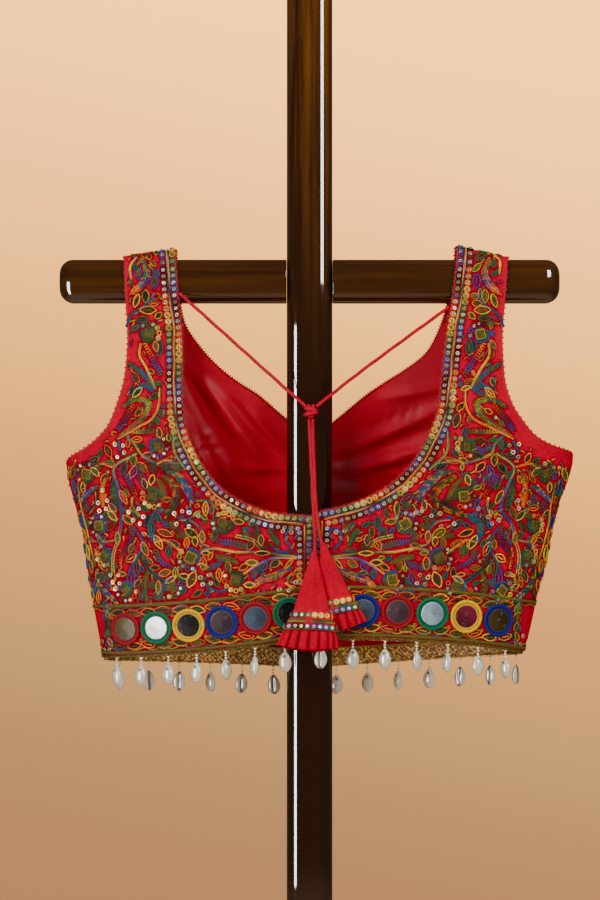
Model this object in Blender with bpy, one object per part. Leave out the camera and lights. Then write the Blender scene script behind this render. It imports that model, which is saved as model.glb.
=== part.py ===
"""Choli blouse hung by its straps on a plain wooden cross stand.

Units are metres and +Z is up. The stand's foot is at the origin. The blouse's back faces -Y, so left
and right are those of someone who looks at the back. Heights on the blouse are given as "down", the
distance below the axis of the stand's arms, and "across" runs round the body from the centre line.
"""

import math

import bmesh
import bpy
import numpy as np
from mathutils import Vector

# ---------------------------------------------------------------- the stand
POST_SIDE = 0.040
POST_TOP = 1.060
ARM_SIDE = 0.038
ARM_REACH = 0.2195
ARM_HEIGHT = 0.748
WOOD_EDGE = 0.0075
BASE_SIDE = 0.300
BASE_THICK = 0.024
BASE_CORNER = 0.020
BASE_EDGE = 0.003

# ---------------------------------------------------------------- the cloth
CENTRE_X = 0.003
GAP = 0.0003
SHELL_THICK = 0.0015
LINING_THICK = 0.0010
LACE_THICK = 0.0010
LACE_BELOW_HEM = 0.002

SIDES = {"left": -1, "right": 1}
FACES = {"back": -1, "front": 1}

# Half width of the body at the side seams, level by level.
# down, left, right
SIDE_SEAM = (
    (-0.050, 0.2175, 0.2290),
    (0.156, 0.2175, 0.2290),
    (0.176, 0.2150, 0.2243),
    (0.192, 0.2108, 0.2180),
    (0.222, 0.2030, 0.2105),
    (0.240, 0.2005, 0.2073),
    (0.270, 0.1960, 0.1990),
    (0.307, 0.1893, 0.1910),
    (0.345, 0.1820, 0.1790),
)

# Depth of the body: y of the panel's outer edge, and how far its middle swells beyond that.
# down, back edge, back swell, front edge, front swell
DEPTH = (
    (-0.050, -0.0217, 0.000, 0.0217, 0.000),
    (0.022, -0.0217, 0.000, 0.0217, 0.000),
    (0.060, -0.0195, 0.007, 0.0205, 0.009),
    (0.100, -0.0125, 0.022, 0.0150, 0.026),
    (0.130, -0.0050, 0.035, 0.0092, 0.042),
    (0.165, 0.0040, 0.048, 0.0040, 0.056),
    (0.205, 0.0040, 0.052, 0.0040, 0.060),
    (0.250, 0.0040, 0.056, 0.0040, 0.060),
    (0.345, 0.0040, 0.060, 0.0040, 0.052),
)

# A front panel is shaped into a cup by its darts.
CUP_X = 0.078
CUP_DOWN = 0.222
CUP_RISE = 0.020
CUP_HALF_WIDTH = 0.085
CUP_HALF_HEIGHT = 0.070

# Sections of each panel, from the shoulder seam down to the hem. The inner end lies on the neckline and
# then on the centre seam, and the outer end on the armhole and then on the side seam (None: its width
# comes from SIDE_SEAM).
# left inner x, left inner down, left outer x, left outer down, then the same four for the right
BACK_SECTIONS = (
    (0.1215, -0.0383, 0.1660, -0.0383, 0.1270, -0.0383, 0.1712, -0.0383),
    (0.1190, -0.0100, 0.1648, -0.0100, 0.1245, -0.0100, 0.1695, -0.0100),
    (0.1177, 0.0105, 0.1640, 0.0100, 0.1220, 0.0105, 0.1682, 0.0100),
    (0.1137, 0.0480, 0.1617, 0.0500, 0.1160, 0.0470, 0.1650, 0.0500),
    (0.1133, 0.0860, 0.1640, 0.0820, 0.1115, 0.0850, 0.1664, 0.0820),
    (0.1126, 0.1120, 0.1705, 0.1065, 0.1083, 0.1110, 0.1730, 0.1065),
    (0.1090, 0.1315, 0.1780, 0.1250, 0.1020, 0.1300, 0.1838, 0.1235),
    (0.1024, 0.1487, 0.1880, 0.1370, 0.0925, 0.1485, 0.1950, 0.1360),
    (0.0931, 0.1646, 0.2010, 0.1470, 0.0810, 0.1640, 0.2100, 0.1440),
    (0.0812, 0.1791, 0.2175, 0.1600, 0.0660, 0.1775, 0.2290, 0.1522),
    (0.0665, 0.1897, None, 0.1740, 0.0500, 0.1870, None, 0.1670),
    (0.0492, 0.1975, None, 0.1880, 0.0330, 0.1940, None, 0.1820),
    (0.0310, 0.2025, None, 0.2000, 0.0165, 0.1985, None, 0.1950),
    (0.0000, 0.2048, None, 0.2120, 0.0000, 0.2012, None, 0.2080),
    (0.0000, 0.2300, None, 0.2370, 0.0000, 0.2280, None, 0.2330),
    (0.0000, 0.2700, None, 0.2820, 0.0000, 0.2690, None, 0.2780),
    (0.0000, 0.3085, None, 0.3285, 0.0000, 0.3090, None, 0.3255),
)
FRONT_SECTIONS = (
    (0.1215, -0.0383, 0.1660, -0.0383, 0.1270, -0.0383, 0.1712, -0.0383),
    (0.1200, -0.0100, 0.1648, -0.0100, 0.1245, -0.0100, 0.1695, -0.0100),
    (0.1185, 0.0105, 0.1635, 0.0100, 0.1210, 0.0105, 0.1678, 0.0100),
    (0.1145, 0.0330, 0.1600, 0.0400, 0.1150, 0.0330, 0.1635, 0.0400),
    (0.0975, 0.0595, 0.1565, 0.0660, 0.1020, 0.0600, 0.1600, 0.0660),
    (0.0815, 0.0760, 0.1570, 0.0920, 0.0820, 0.0764, 0.1605, 0.0900),
    (0.0655, 0.0880, 0.1625, 0.1150, 0.0655, 0.0868, 0.1665, 0.1110),
    (0.0490, 0.0985, 0.1715, 0.1320, 0.0490, 0.0978, 0.1775, 0.1275),
    (0.0260, 0.1180, 0.1880, 0.1475, 0.0250, 0.1175, 0.1965, 0.1425),
    (0.0000, 0.1375, 0.2175, 0.1600, 0.0000, 0.1375, 0.2290, 0.1522),
    (0.0000, 0.1530, None, 0.1750, 0.0000, 0.1530, None, 0.1690),
    (0.0000, 0.1700, None, 0.1900, 0.0000, 0.1700, None, 0.1850),
    (0.0000, 0.1950, None, 0.2090, 0.0000, 0.1950, None, 0.2050),
    (0.0000, 0.2230, None, 0.2310, 0.0000, 0.2230, None, 0.2280),
    (0.0000, 0.2540, None, 0.2580, 0.0000, 0.2540, None, 0.2550),
    (0.0000, 0.2910, None, 0.2900, 0.0000, 0.2910, None, 0.2870),
    (0.0000, 0.3410, None, 0.3315, 0.0000, 0.3410, None, 0.3262),
)
SECTIONS = {"back": BACK_SECTIONS, "front": FRONT_SECTIONS}
UNDERARM_ROW = 9
NECK_ROW = {"back": 13, "front": 9}
HEM_ROW = 16
# The back's hem is not straight. Between the centre and the side seam it hangs lower by this much.
HEM_BELLY = {"back": {"left": 0.0036, "right": -0.0050}, "front": {"left": 0.0, "right": 0.0}}
BELLY_FIRST_ROW = 13

# The strap's way over an arm, as the outer face of the cloth runs: straight up from the bend's start,
# round a corner, then level to the shoulder seam. Its neck edge stands clear of the wood.
STRAP_HALF_DEPTH = 0.0217
STRAP_BEND_START = -0.010
STRAP_BEND_RADIUS = 0.0116
STRAP_NECK_X = 0.123
STRAP_ARM_X = 0.168
STRAP_NECK_LIFT = {"left": 0.006, "right": 0.010}
STRAP_MOST_LIFT = 1.15

EXTRA_ROWS = {0: 6, 3: 2, 7: 2, 8: 3, 15: 2}
LACE_ROW = 15.80
PANEL_COLUMNS = 11
LINING_FIRST_ROW = 3

# ---------------------------------------------------------------- mirrors
MIRRORS_EACH = 6
# Distance round the hem of the first from the centre, and from each to the next.
MIRROR_PLACES = {
    "back": {"left": (0.0213, 0.0297), "right": (0.0150, 0.0302)},
    "front": {"left": (0.0210, 0.0303), "right": (0.0210, 0.0303)},
}
MIRROR_ABOVE_HEM = 0.0230
MIRROR_SEGMENTS = 14
# radius, height over the mirror's underside
MIRROR_PROFILE = ((0.0144, 0.0000), (0.0141, 0.0016), (0.0124, 0.0025), (0.0104, 0.0010))
# The stiff mirrors bridge the bend of the body, more of it towards the side seams.
MIRROR_SEAT = 0.0004
MIRROR_BRIDGE = 0.00022

# ---------------------------------------------------------------- cowrie fringe
COWRIES_EACH = 7
# Distance round the hem of the first from the centre, and from each to the next.
COWRIE_PLACES = {
    "back": {"left": (0.0245, 0.0256), "right": (0.0064, 0.0278)},
    "front": {"left": (0.0070, 0.0284), "right": (0.0215, 0.0280)},
}
STRAND_LENGTH = {"back": 0.0085, "front": 0.0100}
STRAND_RADIUS = 0.0009
STRAND_INTO_TAPE = 0.00024
COWRIE_LENGTH = 0.0170
COWRIE_HALF_WIDTH = 0.0054
COWRIE_HALF_DEPTH = 0.0040
COWRIE_SEGMENTS = 7
# share of the shell's length, share of its half width
COWRIE_PROFILE = ((0.06, 0.42), (0.30, 0.86), (0.64, 1.00), (0.90, 0.64))
FRINGE_TAPE_RADIUS = 0.0008
FRINGE_TAPE_INSET = 0.0005

# ---------------------------------------------------------------- dori cord and tassels
DORI_RADIUS = 0.0015
DORI_STEP = 0.0090
# x from the centre line, y, down
DORI_ROUTES = {
    "dori_left": (
        (-0.11633, -0.0211, 0.0114),
        (-0.0900, -0.0258, 0.0352),
        (-0.0350, -0.0345, 0.0848),
        (-0.0068, -0.0382, 0.1100),
    ),
    "dori_right": (
        (0.11873, -0.0211, 0.0232),
        (0.0900, -0.0255, 0.0440),
        (0.0350, -0.0343, 0.0848),
        (0.0029, -0.0382, 0.1103),
    ),
    "dori_tail_left": (
        (-0.0038, -0.0386, 0.1214),
        (-0.0022, -0.0460, 0.1650),
        (-0.0006, -0.0520, 0.2030),
        (0.0003, -0.0560, 0.2200),
        (0.0006, -0.0580, 0.2347),
    ),
    "dori_tail_right": (
        (-0.0002, -0.0386, 0.1214),
        (0.0017, -0.0460, 0.1650),
        (0.0036, -0.0520, 0.2000),
        (0.0056, -0.0557, 0.2140),
        (0.0078, -0.0577, 0.2273),
    ),
}
KNOT_CENTRE = (-0.0020, -0.0385, 0.1145)
KNOT_HALF = (0.0060, 0.0048, 0.0066)

TASSEL_SEGMENTS = 20
TASSEL_WALL = 0.0010
RUFFLE_PLEATS = 16
RUFFLE_PLEAT_DEPTH = 0.0012
RUFFLE_POINTS_EACH = 3
RUFFLE_SAG = 0.0035
RUFFLE_TUCK = 0.0045
RUFFLE_CLEAR = 0.0006
# A tassel's levels: 0 is its tip, 1 its waist, 2 the cone's foot and 3 the ruffle's hem.
CONE_HOLLOW_TOP = 0.15
RUFFLE_OUT_LEVEL = 2.12
RUFFLE_PLEAT_AT_FOOT, RUFFLE_PLEAT_AT_OUT = 0.3, 0.5
# centre, half width, half depth of the tip, the waist, the foot and the hem
TASSELS = {
    "left": (
        ((0.0008, -0.0585, 0.2350), 0.0022, 0.0020),
        ((-0.0014, -0.0720, 0.2862), 0.0152, 0.0036),
        ((-0.0025, -0.0755, 0.3015), 0.0225, 0.0050),
        ((-0.0046, -0.0770, 0.3155), 0.0262, 0.0058),
    ),
    "right": (
        ((0.0080, -0.0577, 0.2276), 0.0022, 0.0020),
        ((0.0181, -0.0623, 0.2761), 0.0142, 0.0032),
        ((0.0205, -0.0630, 0.2874), 0.0200, 0.0042),
        ((0.0228, -0.0633, 0.2990), 0.0232, 0.0048),
    ),
}

# ---------------------------------------------------------------- finishes
# name: (colour, roughness, metallic)
FINISHES = {
    "dark_wood": ((0.055, 0.022, 0.010), 0.22, 0.0),
    "red_cloth": ((0.600, 0.010, 0.030), 0.85, 0.0),
    "red_satin": ((0.480, 0.004, 0.020), 0.45, 0.0),
    "gold_lace": ((0.620, 0.400, 0.120), 0.40, 0.6),
    "cowrie_shell": ((0.780, 0.740, 0.640), 0.30, 0.0),
    "red_cord": ((0.560, 0.008, 0.028), 0.60, 0.0),
    "rim_red": ((0.560, 0.020, 0.030), 0.80, 0.0),
    "rim_green": ((0.010, 0.300, 0.160), 0.80, 0.0),
    "rim_yellow": ((0.800, 0.500, 0.030), 0.80, 0.0),
    "rim_blue": ((0.015, 0.050, 0.320), 0.80, 0.0),
}
RIM_CYCLE = ("rim_red", "rim_green", "rim_yellow", "rim_blue")


def clear_scene():
    for obj in list(bpy.data.objects):
        bpy.data.objects.remove(obj, do_unlink=True)


def make_finishes():
    made = {}
    for name, (colour, roughness, metallic) in FINISHES.items():
        made[name] = bpy.data.materials.new(name)
        made[name].use_nodes = True
        shader = made[name].node_tree.nodes["Principled BSDF"]
        shader.inputs["Base Color"].default_value = (*colour, 1.0)
        shader.inputs["Roughness"].default_value = roughness
        shader.inputs["Metallic"].default_value = metallic
    return made


def add_mesh_object(name, mesh, finish, smooth=True):
    """Links a mesh to the blouse's collection under its node name."""
    mesh.materials.clear()
    mesh.materials.append(finish)
    if smooth:
        mesh.shade_smooth()
        mesh.set_sharp_from_angle(angle=math.radians(40))
    obj = bpy.data.objects.new(name, mesh)
    bpy.data.collections["choli_on_stand"].objects.link(obj)
    return obj


def mesh_from(name, points, faces):
    """A closed mesh with its faces pointing out."""
    work = bmesh.new()
    corners = [work.verts.new(p) for p in points]
    for face in faces:
        work.faces.new([corners[i] for i in face])
    bmesh.ops.recalc_face_normals(work, faces=work.faces)
    mesh = bpy.data.meshes.new(name)
    work.to_mesh(mesh)
    work.free()
    return mesh


# ---------------------------------------------------------------- curves through tables
def through(places, values, at):
    """A smooth curve through (places, values) that never overshoots them, read at each of `at`."""
    places, values = np.asarray(places, float), np.asarray(values, float)
    step, slope = np.diff(places), np.diff(values) / np.diff(places)
    tangent = np.zeros(len(places))
    same_way = slope[:-1] * slope[1:] > 0
    pairs = 2 * slope[:-1] * slope[1:] / np.where(same_way, slope[:-1] + slope[1:], 1)
    tangent[1:-1] = np.where(same_way, pairs, 0)
    tangent[0], tangent[-1] = slope[0], slope[-1]
    at = np.clip(np.asarray(at, float), places[0], places[-1])
    i = np.clip(np.searchsorted(places, at, side="right") - 1, 0, len(step) - 1)
    t = (at - places[i]) / step[i]
    return (
        (2 * t**3 - 3 * t**2 + 1) * values[i]
        + (t**3 - 2 * t**2 + t) * step[i] * tangent[i]
        + (3 * t**2 - 2 * t**3) * values[i + 1]
        + (t**3 - t**2) * step[i] * tangent[i + 1]
    )


def from_table(table, column, down):
    rows = np.array(table)
    return float(through(rows[:, 0], rows[:, column], down))


def half_width(side, down):
    return from_table(SIDE_SEAM, 1 if side == "left" else 2, down)


def edge_and_swell(face, down):
    first = 1 if face == "back" else 3
    return from_table(DEPTH, first, down), from_table(DEPTH, first + 1, down)


def smooth_step(share):
    share = min(max(share, 0.0), 1.0)
    return share * share * (3 - 2 * share)


# ---------------------------------------------------------------- the body's surface
TURNS = np.linspace(0.0, math.pi / 2, 61)
NORMAL_STEP = 0.00025
LEVEL_ENOUGH = 1e-9


def arc_lengths(width, swell):
    """Distance round a quarter of the body's oval section, at each of TURNS."""
    middle = (TURNS[1:] + TURNS[:-1]) / 2
    pieces = np.hypot(width * np.cos(middle), swell * np.sin(middle)) * np.diff(TURNS)
    return np.concatenate([[0.0], np.cumsum(pieces)])


def quarter_length(face, side, down):
    return float(arc_lengths(half_width(side, down), edge_and_swell(face, down)[1])[-1])


def across_of(face, side, turn, down):
    """How far round the body a turn of the oval section reaches."""
    lengths = arc_lengths(half_width(side, down), edge_and_swell(face, down)[1])
    return float(np.interp(turn, TURNS, lengths))


def turn_of(face, side, across, down):
    lengths = arc_lengths(half_width(side, down), edge_and_swell(face, down)[1])
    return float(np.interp(across, lengths, TURNS))


def cup(x, down):
    """How far the darted cup stands out from the oval."""
    reach = math.hypot((x - CUP_X) / CUP_HALF_WIDTH, (down - CUP_DOWN) / CUP_HALF_HEIGHT)
    return CUP_RISE * (1 - smooth_step(reach))


def over_arm(side, x, past):
    """Depth and height over the arm's axis, `past` metres of cloth beyond the start of the bend."""
    turn = min(past / STRAP_BEND_RADIUS, math.pi / 2)
    level = past - turn * STRAP_BEND_RADIUS
    depth = STRAP_HALF_DEPTH - STRAP_BEND_RADIUS * (1 - math.cos(turn)) - level
    height = -STRAP_BEND_START + STRAP_BEND_RADIUS * math.sin(turn)
    share = (STRAP_ARM_X - x) / (STRAP_ARM_X - STRAP_NECK_X)
    lift = STRAP_NECK_LIFT[side] * min(max(share, 0.0), STRAP_MOST_LIFT) * smooth_step(turn / (math.pi / 2))
    return depth, height + lift


def cloth_point(face, side, across, down):
    """A point of the cloth's outer face."""
    level = max(down, STRAP_BEND_START)
    width, (edge, swell) = half_width(side, level), edge_and_swell(face, level)
    turn = turn_of(face, side, across, level)
    x = width * math.sin(turn)
    y = edge + FACES[face] * swell * math.cos(turn)
    if face == "front":
        y += cup(x, level)
    height = -level
    if down < STRAP_BEND_START:
        depth, height = over_arm(side, x, STRAP_BEND_START - down)
        y = FACES[face] * depth
    return Vector((CENTRE_X + SIDES[side] * x, y, ARM_HEIGHT + height))


def centre_normal(face, up, low):
    """On the centre line the section runs level, so only the slope down the panel tilts the normal."""
    if abs(up.y - low.y) < LEVEL_ENOUGH:
        return Vector((0.0, FACES[face], 0.0))
    return Vector((1.0, 0.0, 0.0)).cross((up - low).normalized()).normalized() * (-FACES[face])


def cloth_normal(face, side, across, down):
    """The way that the cloth's outer face looks, from points a small step either side."""
    step = NORMAL_STEP
    up = cloth_point(face, side, across, down - step)
    low = cloth_point(face, side, across, down + step)
    near = cloth_point(face, side, max(across - step, 0.0), down)
    far = cloth_point(face, side, min(across + step, quarter_length(face, side, down)), down)
    if across < step:
        return centre_normal(face, up, low)
    return (far - near).cross(up - low).normalized() * (-FACES[face] * SIDES[side])


def lifted(face, side, across, down, lift):
    """A point at a distance from the cloth's outer face: positive outside, negative within."""
    return cloth_point(face, side, across, down) + cloth_normal(face, side, across, down) * lift


# ---------------------------------------------------------------- panels
def section_value(face, side, end, row):
    """Turn and down of a section's inner (0) or outer (2) end. The row may lie between two of the table's."""
    column = end + (0 if side == "left" else 4)
    corner = NECK_ROW[face] if end == 0 else UNDERARM_ROW
    rows = list(range(corner + 1)) if row <= corner else list(range(corner, HEM_ROW + 1))
    turns, downs = [], []
    for r in rows:
        x, down = SECTIONS[face][r][column], SECTIONS[face][r][column + 1]
        width = half_width(side, down)
        turns.append(math.asin(min((width if x is None else x) / width, 1.0)))
        downs.append(down)
    return float(through(rows, turns, row)), float(through(rows, downs, row))


def section_ends(face, side, row):
    """(turn, down) of the inner and the outer end of a section."""
    return section_value(face, side, 0, row), section_value(face, side, 2, row)


def panel_rows(first):
    """Rows of the table from `first`, with more between those where the cloth bends more."""
    rows = []
    for row in range(first, HEM_ROW):
        steps = EXTRA_ROWS.get(row, 1)
        rows += [row + k / steps for k in range(steps)]
    return [*rows, LACE_ROW, HEM_ROW]


def belly(face, side, row, share):
    """How much lower the cloth hangs between a section's ends than straight from one to the other."""
    full = min(max((row - BELLY_FIRST_ROW) / (HEM_ROW - BELLY_FIRST_ROW), 0.0), 1.0)
    return HEM_BELLY[face][side] * full * math.sin(math.pi * share)


def row_line(face, side, row, lift, inset=0.0, lower=0.0):
    """Points along one section, an even turn apart and falling evenly with the distance round it.

    Its ends keep half a gap, and more with an inset, to the seams.
    """
    (inner, inner_down), (outer, outer_down) = section_ends(face, side, row)
    turns = [inner + (outer - inner) * k / PANEL_COLUMNS for k in range(PANEL_COLUMNS + 1)]
    middle = (inner_down + outer_down) / 2
    lengths = [across_of(face, side, turn, middle) for turn in turns]
    trim = GAP / 2 + inset
    line = []
    for k, turn in enumerate(turns):
        share = (lengths[k] - lengths[0]) / (lengths[-1] - lengths[0])
        down = inner_down + (outer_down - inner_down) * share + belly(face, side, row, share) + lower
        across = across_of(face, side, turn, down) + trim * (1 - 2 * k / PANEL_COLUMNS)
        line.append(lifted(face, side, across, down, lift))
    return line


def panel_grid(face, side, rows, lift):
    """Points over a panel, row by row, the first of them half a gap from the shoulder seam."""
    return [row_line(face, side, row, lift, lower=GAP / 2 if row == 0 else 0.0) for row in rows]


def wall_mesh(name, outer, inner):
    """A closed wall between two grids of points, each square cut along the same diagonal in both."""
    rows, columns = len(outer), len(outer[0])
    points = [p for line in outer for p in line] + [p for line in inner for p in line]
    below = rows * columns

    def at(row, column):
        return row * columns + column

    faces = []
    for r in range(rows - 1):
        for c in range(columns - 1):
            a, b, far, d = at(r, c), at(r, c + 1), at(r + 1, c + 1), at(r + 1, c)
            for corners in ((a, b, far), (a, far, d)):
                faces += [corners, tuple(i + below for i in reversed(corners))]
    rim = [at(0, c) for c in range(columns)] + [at(r, columns - 1) for r in range(1, rows)]
    rim += [at(rows - 1, c) for c in range(columns - 2, -1, -1)] + [at(r, 0) for r in range(rows - 2, 0, -1)]
    for a, b in zip(rim, rim[1:] + rim[:1]):
        faces.append((b, a, a + below, b + below))
    return mesh_from(name, points, faces)


def make_panels(finishes):
    """The four embroidered panels, each with half of both its straps' lengths."""
    for face in FACES:
        for side in SIDES:
            rows = panel_rows(0)
            outer = panel_grid(face, side, rows, 0.0)
            inner = panel_grid(face, side, rows, -SHELL_THICK)
            name = f"{face}_panel_{side}"
            add_mesh_object(name, wall_mesh(name, outer, inner), finishes["red_cloth"])


def make_front_lining(finishes):
    """The satin lining of the front, which shows through the low back neck."""
    top = SHELL_THICK + GAP
    for side in SIDES:
        rows = panel_rows(LINING_FIRST_ROW)
        outer = panel_grid("front", side, rows, -top)
        inner = panel_grid("front", side, rows, -top - LINING_THICK)
        name = f"front_lining_{side}"
        add_mesh_object(name, wall_mesh(name, outer, inner), finishes["red_satin"])


def make_hem_lace(finishes):
    """Gold lace along the inside of the hem, a little below its edge."""
    under = {"back": SHELL_THICK + GAP, "front": SHELL_THICK + LINING_THICK + 2 * GAP}
    for face in FACES:
        for side in SIDES:
            walls = []
            for lift in (-under[face], -under[face] - LACE_THICK):
                walls.append([
                    row_line(face, side, LACE_ROW, lift),
                    row_line(face, side, HEM_ROW, lift),
                    row_line(face, side, HEM_ROW, lift, 0.0, LACE_BELOW_HEM),
                ])
            name = f"hem_lace_{face}_{side}"
            add_mesh_object(name, wall_mesh(name, *walls), finishes["gold_lace"])


def hem_down(face, side, across):
    """Height of the hem at a distance round it."""
    (_, centre), (_, seam) = section_ends(face, side, HEM_ROW)
    share = across / quarter_length(face, side, (centre + seam) / 2)
    return centre + (seam - centre) * share + belly(face, side, HEM_ROW, share)


# ---------------------------------------------------------------- mirrors
def mirror_places(face, side):
    """(across, down) of each mirror of a panel, from the centre outwards."""
    first, pitch = MIRROR_PLACES[face][side]
    places = []
    for k in range(MIRRORS_EACH):
        across = first + pitch * k
        places.append((across, hem_down(face, side, across) - MIRROR_ABOVE_HEM))
    return places


def mirror_mesh(name, face, side, across, down, seat):
    """A round mirror in its thick thread rim, bent to the cloth it is sewn on."""
    points = []
    for radius, height in MIRROR_PROFILE:
        for k in range(MIRROR_SEGMENTS):
            turn = math.tau * k / MIRROR_SEGMENTS
            place = across + radius * math.cos(turn), down + radius * math.sin(turn)
            points.append(lifted(face, side, *place, seat + height))
    under = len(points)
    points.append(lifted(face, side, across, down, seat))
    points.append(lifted(face, side, across, down, seat + MIRROR_PROFILE[-1][1]))
    faces = []
    last_ring = (len(MIRROR_PROFILE) - 1) * MIRROR_SEGMENTS
    for k in range(MIRROR_SEGMENTS):
        after = (k + 1) % MIRROR_SEGMENTS
        for ring in range(0, last_ring, MIRROR_SEGMENTS):
            outer = ring + MIRROR_SEGMENTS
            faces.append((ring + k, ring + after, outer + after, outer + k))
        faces.append((under, after, k))
        faces.append((under + 1, last_ring + k, last_ring + after))
    return mesh_from(name, points, faces)


def rim_finish(face, side, k):
    """The rims' colours run round in one cycle from the blouse's left edge to its right."""
    place = MIRRORS_EACH - 1 - k if side == "left" else MIRRORS_EACH + k
    if face == "front":
        place = 2 * MIRRORS_EACH - 1 - place
    return RIM_CYCLE[place % len(RIM_CYCLE)]


def make_mirrors(finishes):
    for face in FACES:
        for side in SIDES:
            for k, (across, down) in enumerate(mirror_places(face, side)):
                name = f"mirror_{face}_{side}_{k + 1}"
                seat = MIRROR_SEAT + MIRROR_BRIDGE * (k / (MIRRORS_EACH - 1)) ** 2
                mesh = mirror_mesh(name, face, side, across, down, seat)
                add_mesh_object(name, mesh, finishes[rim_finish(face, side, k)])


# ---------------------------------------------------------------- cowrie fringe
def cowrie_pendant(root, outward, strand):
    """One cowrie on its strand, hung from a point of the fringe's tape: points and faces."""
    sideways = Vector((-outward.y, outward.x, 0.0)).normalized()
    outward = Vector((outward.x, outward.y, 0.0)).normalized()
    rings = [(height, STRAND_RADIUS, STRAND_RADIUS) for height in (STRAND_INTO_TAPE, -strand)]
    for along, width in COWRIE_PROFILE:
        rings.append((-strand - along * COWRIE_LENGTH, width * COWRIE_HALF_WIDTH, width * COWRIE_HALF_DEPTH))
    points = []
    for height, half_across, half_deep in rings:
        for k in range(COWRIE_SEGMENTS):
            turn = math.tau * k / COWRIE_SEGMENTS
            points.append(
                root
                + sideways * (half_across * math.cos(turn))
                + outward * (half_deep * math.sin(turn))
                + Vector((0.0, 0.0, height))
            )
    tip = len(points)
    points.append(root + Vector((0.0, 0.0, -strand - COWRIE_LENGTH)))
    faces = [tuple(range(COWRIE_SEGMENTS))]
    for ring in range(len(rings) - 1):
        for k in range(COWRIE_SEGMENTS):
            a, b = ring * COWRIE_SEGMENTS + k, ring * COWRIE_SEGMENTS + (k + 1) % COWRIE_SEGMENTS
            faces.append((a, b, b + COWRIE_SEGMENTS, a + COWRIE_SEGMENTS))
    last = (len(rings) - 1) * COWRIE_SEGMENTS
    for k in range(COWRIE_SEGMENTS):
        faces.append((last + k, last + (k + 1) % COWRIE_SEGMENTS, tip))
    return points, faces


def tape_mesh(name, line, radius, sides):
    """A tube along a line as a welded mesh, made from a bevelled curve."""
    curve = bpy.data.curves.new(name, "CURVE")
    curve.dimensions = "3D"
    curve.bevel_depth = radius
    curve.bevel_resolution = sides
    curve.use_fill_caps = True
    spline = curve.splines.new("POLY")
    spline.points.add(len(line) - 1)
    for point, place in zip(spline.points, line):
        point.co = (*place, 1.0)
    holder = bpy.data.objects.new(name + "_curve", curve)
    bpy.context.scene.collection.objects.link(holder)
    bpy.context.view_layer.update()
    graph = bpy.context.evaluated_depsgraph_get()
    mesh = bpy.data.meshes.new_from_object(holder.evaluated_get(graph))
    bpy.data.objects.remove(holder, do_unlink=True)
    work = bmesh.new()
    work.from_mesh(mesh)
    bmesh.ops.remove_doubles(work, verts=work.verts, dist=1e-6)
    bmesh.ops.recalc_face_normals(work, faces=work.faces)
    work.to_mesh(mesh)
    work.free()
    return mesh


def cowrie_places(face, side):
    """Distance round the hem of each cowrie of a panel."""
    first, pitch = COWRIE_PLACES[face][side]
    return [first + pitch * k for k in range(COWRIES_EACH)]


def point_along(line, distance):
    """The point at a distance along a line."""
    for a, b in zip(line, line[1:]):
        if distance <= (b - a).length:
            return a.lerp(b, distance / (b - a).length)
        distance -= (b - a).length
    return line[-1]


def make_fringe(finishes):
    """Cowrie shells on bead strands, hung from a narrow tape under each panel's hem."""
    below = GAP + FRINGE_TAPE_RADIUS
    for face in FACES:
        for side in SIDES:
            name = f"cowrie_fringe_{face}_{side}"
            line = row_line(face, side, HEM_ROW, -SHELL_THICK / 2, FRINGE_TAPE_INSET, below)
            mesh = tape_mesh(name, line, FRINGE_TAPE_RADIUS, 1)
            tape = add_mesh_object(name, mesh, finishes["cowrie_shell"])
            points, faces = [], []
            for across in cowrie_places(face, side):
                root = point_along(line, across)
                outward = cloth_normal(face, side, across, hem_down(face, side, across))
                more_points, more_faces = cowrie_pendant(root, outward, STRAND_LENGTH[face])
                faces += [tuple(i + len(points) for i in corners) for corners in more_faces]
                points += more_points
            shells = bpy.data.objects.new(name + "_shells", mesh_from(name + "_shells", points, faces))
            bpy.data.collections["cutters"].objects.link(shells)
            shells.hide_render = True
            shells.display_type = "WIRE"
            join = tape.modifiers.new("shells", "BOOLEAN")
            join.operation = "UNION"
            join.solver = "EXACT"
            join.object = shells


# ---------------------------------------------------------------- dori cord and tassels
def in_world(place):
    """A place given as x from the centre line, y and down, as a point of the scene."""
    x, y, down = place
    return Vector((CENTRE_X + x, y, ARM_HEIGHT - down))


def smooth_route(places, step):
    """Points an even step apart on a smooth curve through a cord's own points."""
    places = np.array([tuple(in_world(p)) for p in places])
    lengths = np.concatenate([[0.0], np.cumsum(np.linalg.norm(np.diff(places, axis=0), axis=1))])
    count = max(2, round(lengths[-1] / step))
    at = np.linspace(0.0, lengths[-1], count + 1)
    return list(zip(*(through(lengths, places[:, axis], at) for axis in range(3))))


def make_dori(finishes):
    """The neck cord's two halves, its tails, and the knot that ties them."""
    for name, route in DORI_ROUTES.items():
        curve = bpy.data.curves.new(name, "CURVE")
        curve.dimensions = "3D"
        curve.bevel_depth = DORI_RADIUS
        curve.bevel_resolution = 2
        curve.use_fill_caps = True
        curve.materials.append(finishes["red_cord"])
        line = smooth_route(route, DORI_STEP)
        spline = curve.splines.new("POLY")
        spline.points.add(len(line) - 1)
        for point, place in zip(spline.points, line):
            point.co = (*place, 1.0)
        bpy.data.collections["choli_on_stand"].objects.link(bpy.data.objects.new(name, curve))
    work = bmesh.new()
    bmesh.ops.create_uvsphere(work, u_segments=14, v_segments=9, radius=1.0)
    bmesh.ops.scale(work, vec=Vector(KNOT_HALF), verts=work.verts)
    bmesh.ops.translate(work, vec=in_world(KNOT_CENTRE), verts=work.verts)
    mesh = bpy.data.meshes.new("dori_knot")
    work.to_mesh(mesh)
    work.free()
    add_mesh_object("dori_knot", mesh, finishes["red_cord"])


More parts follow.
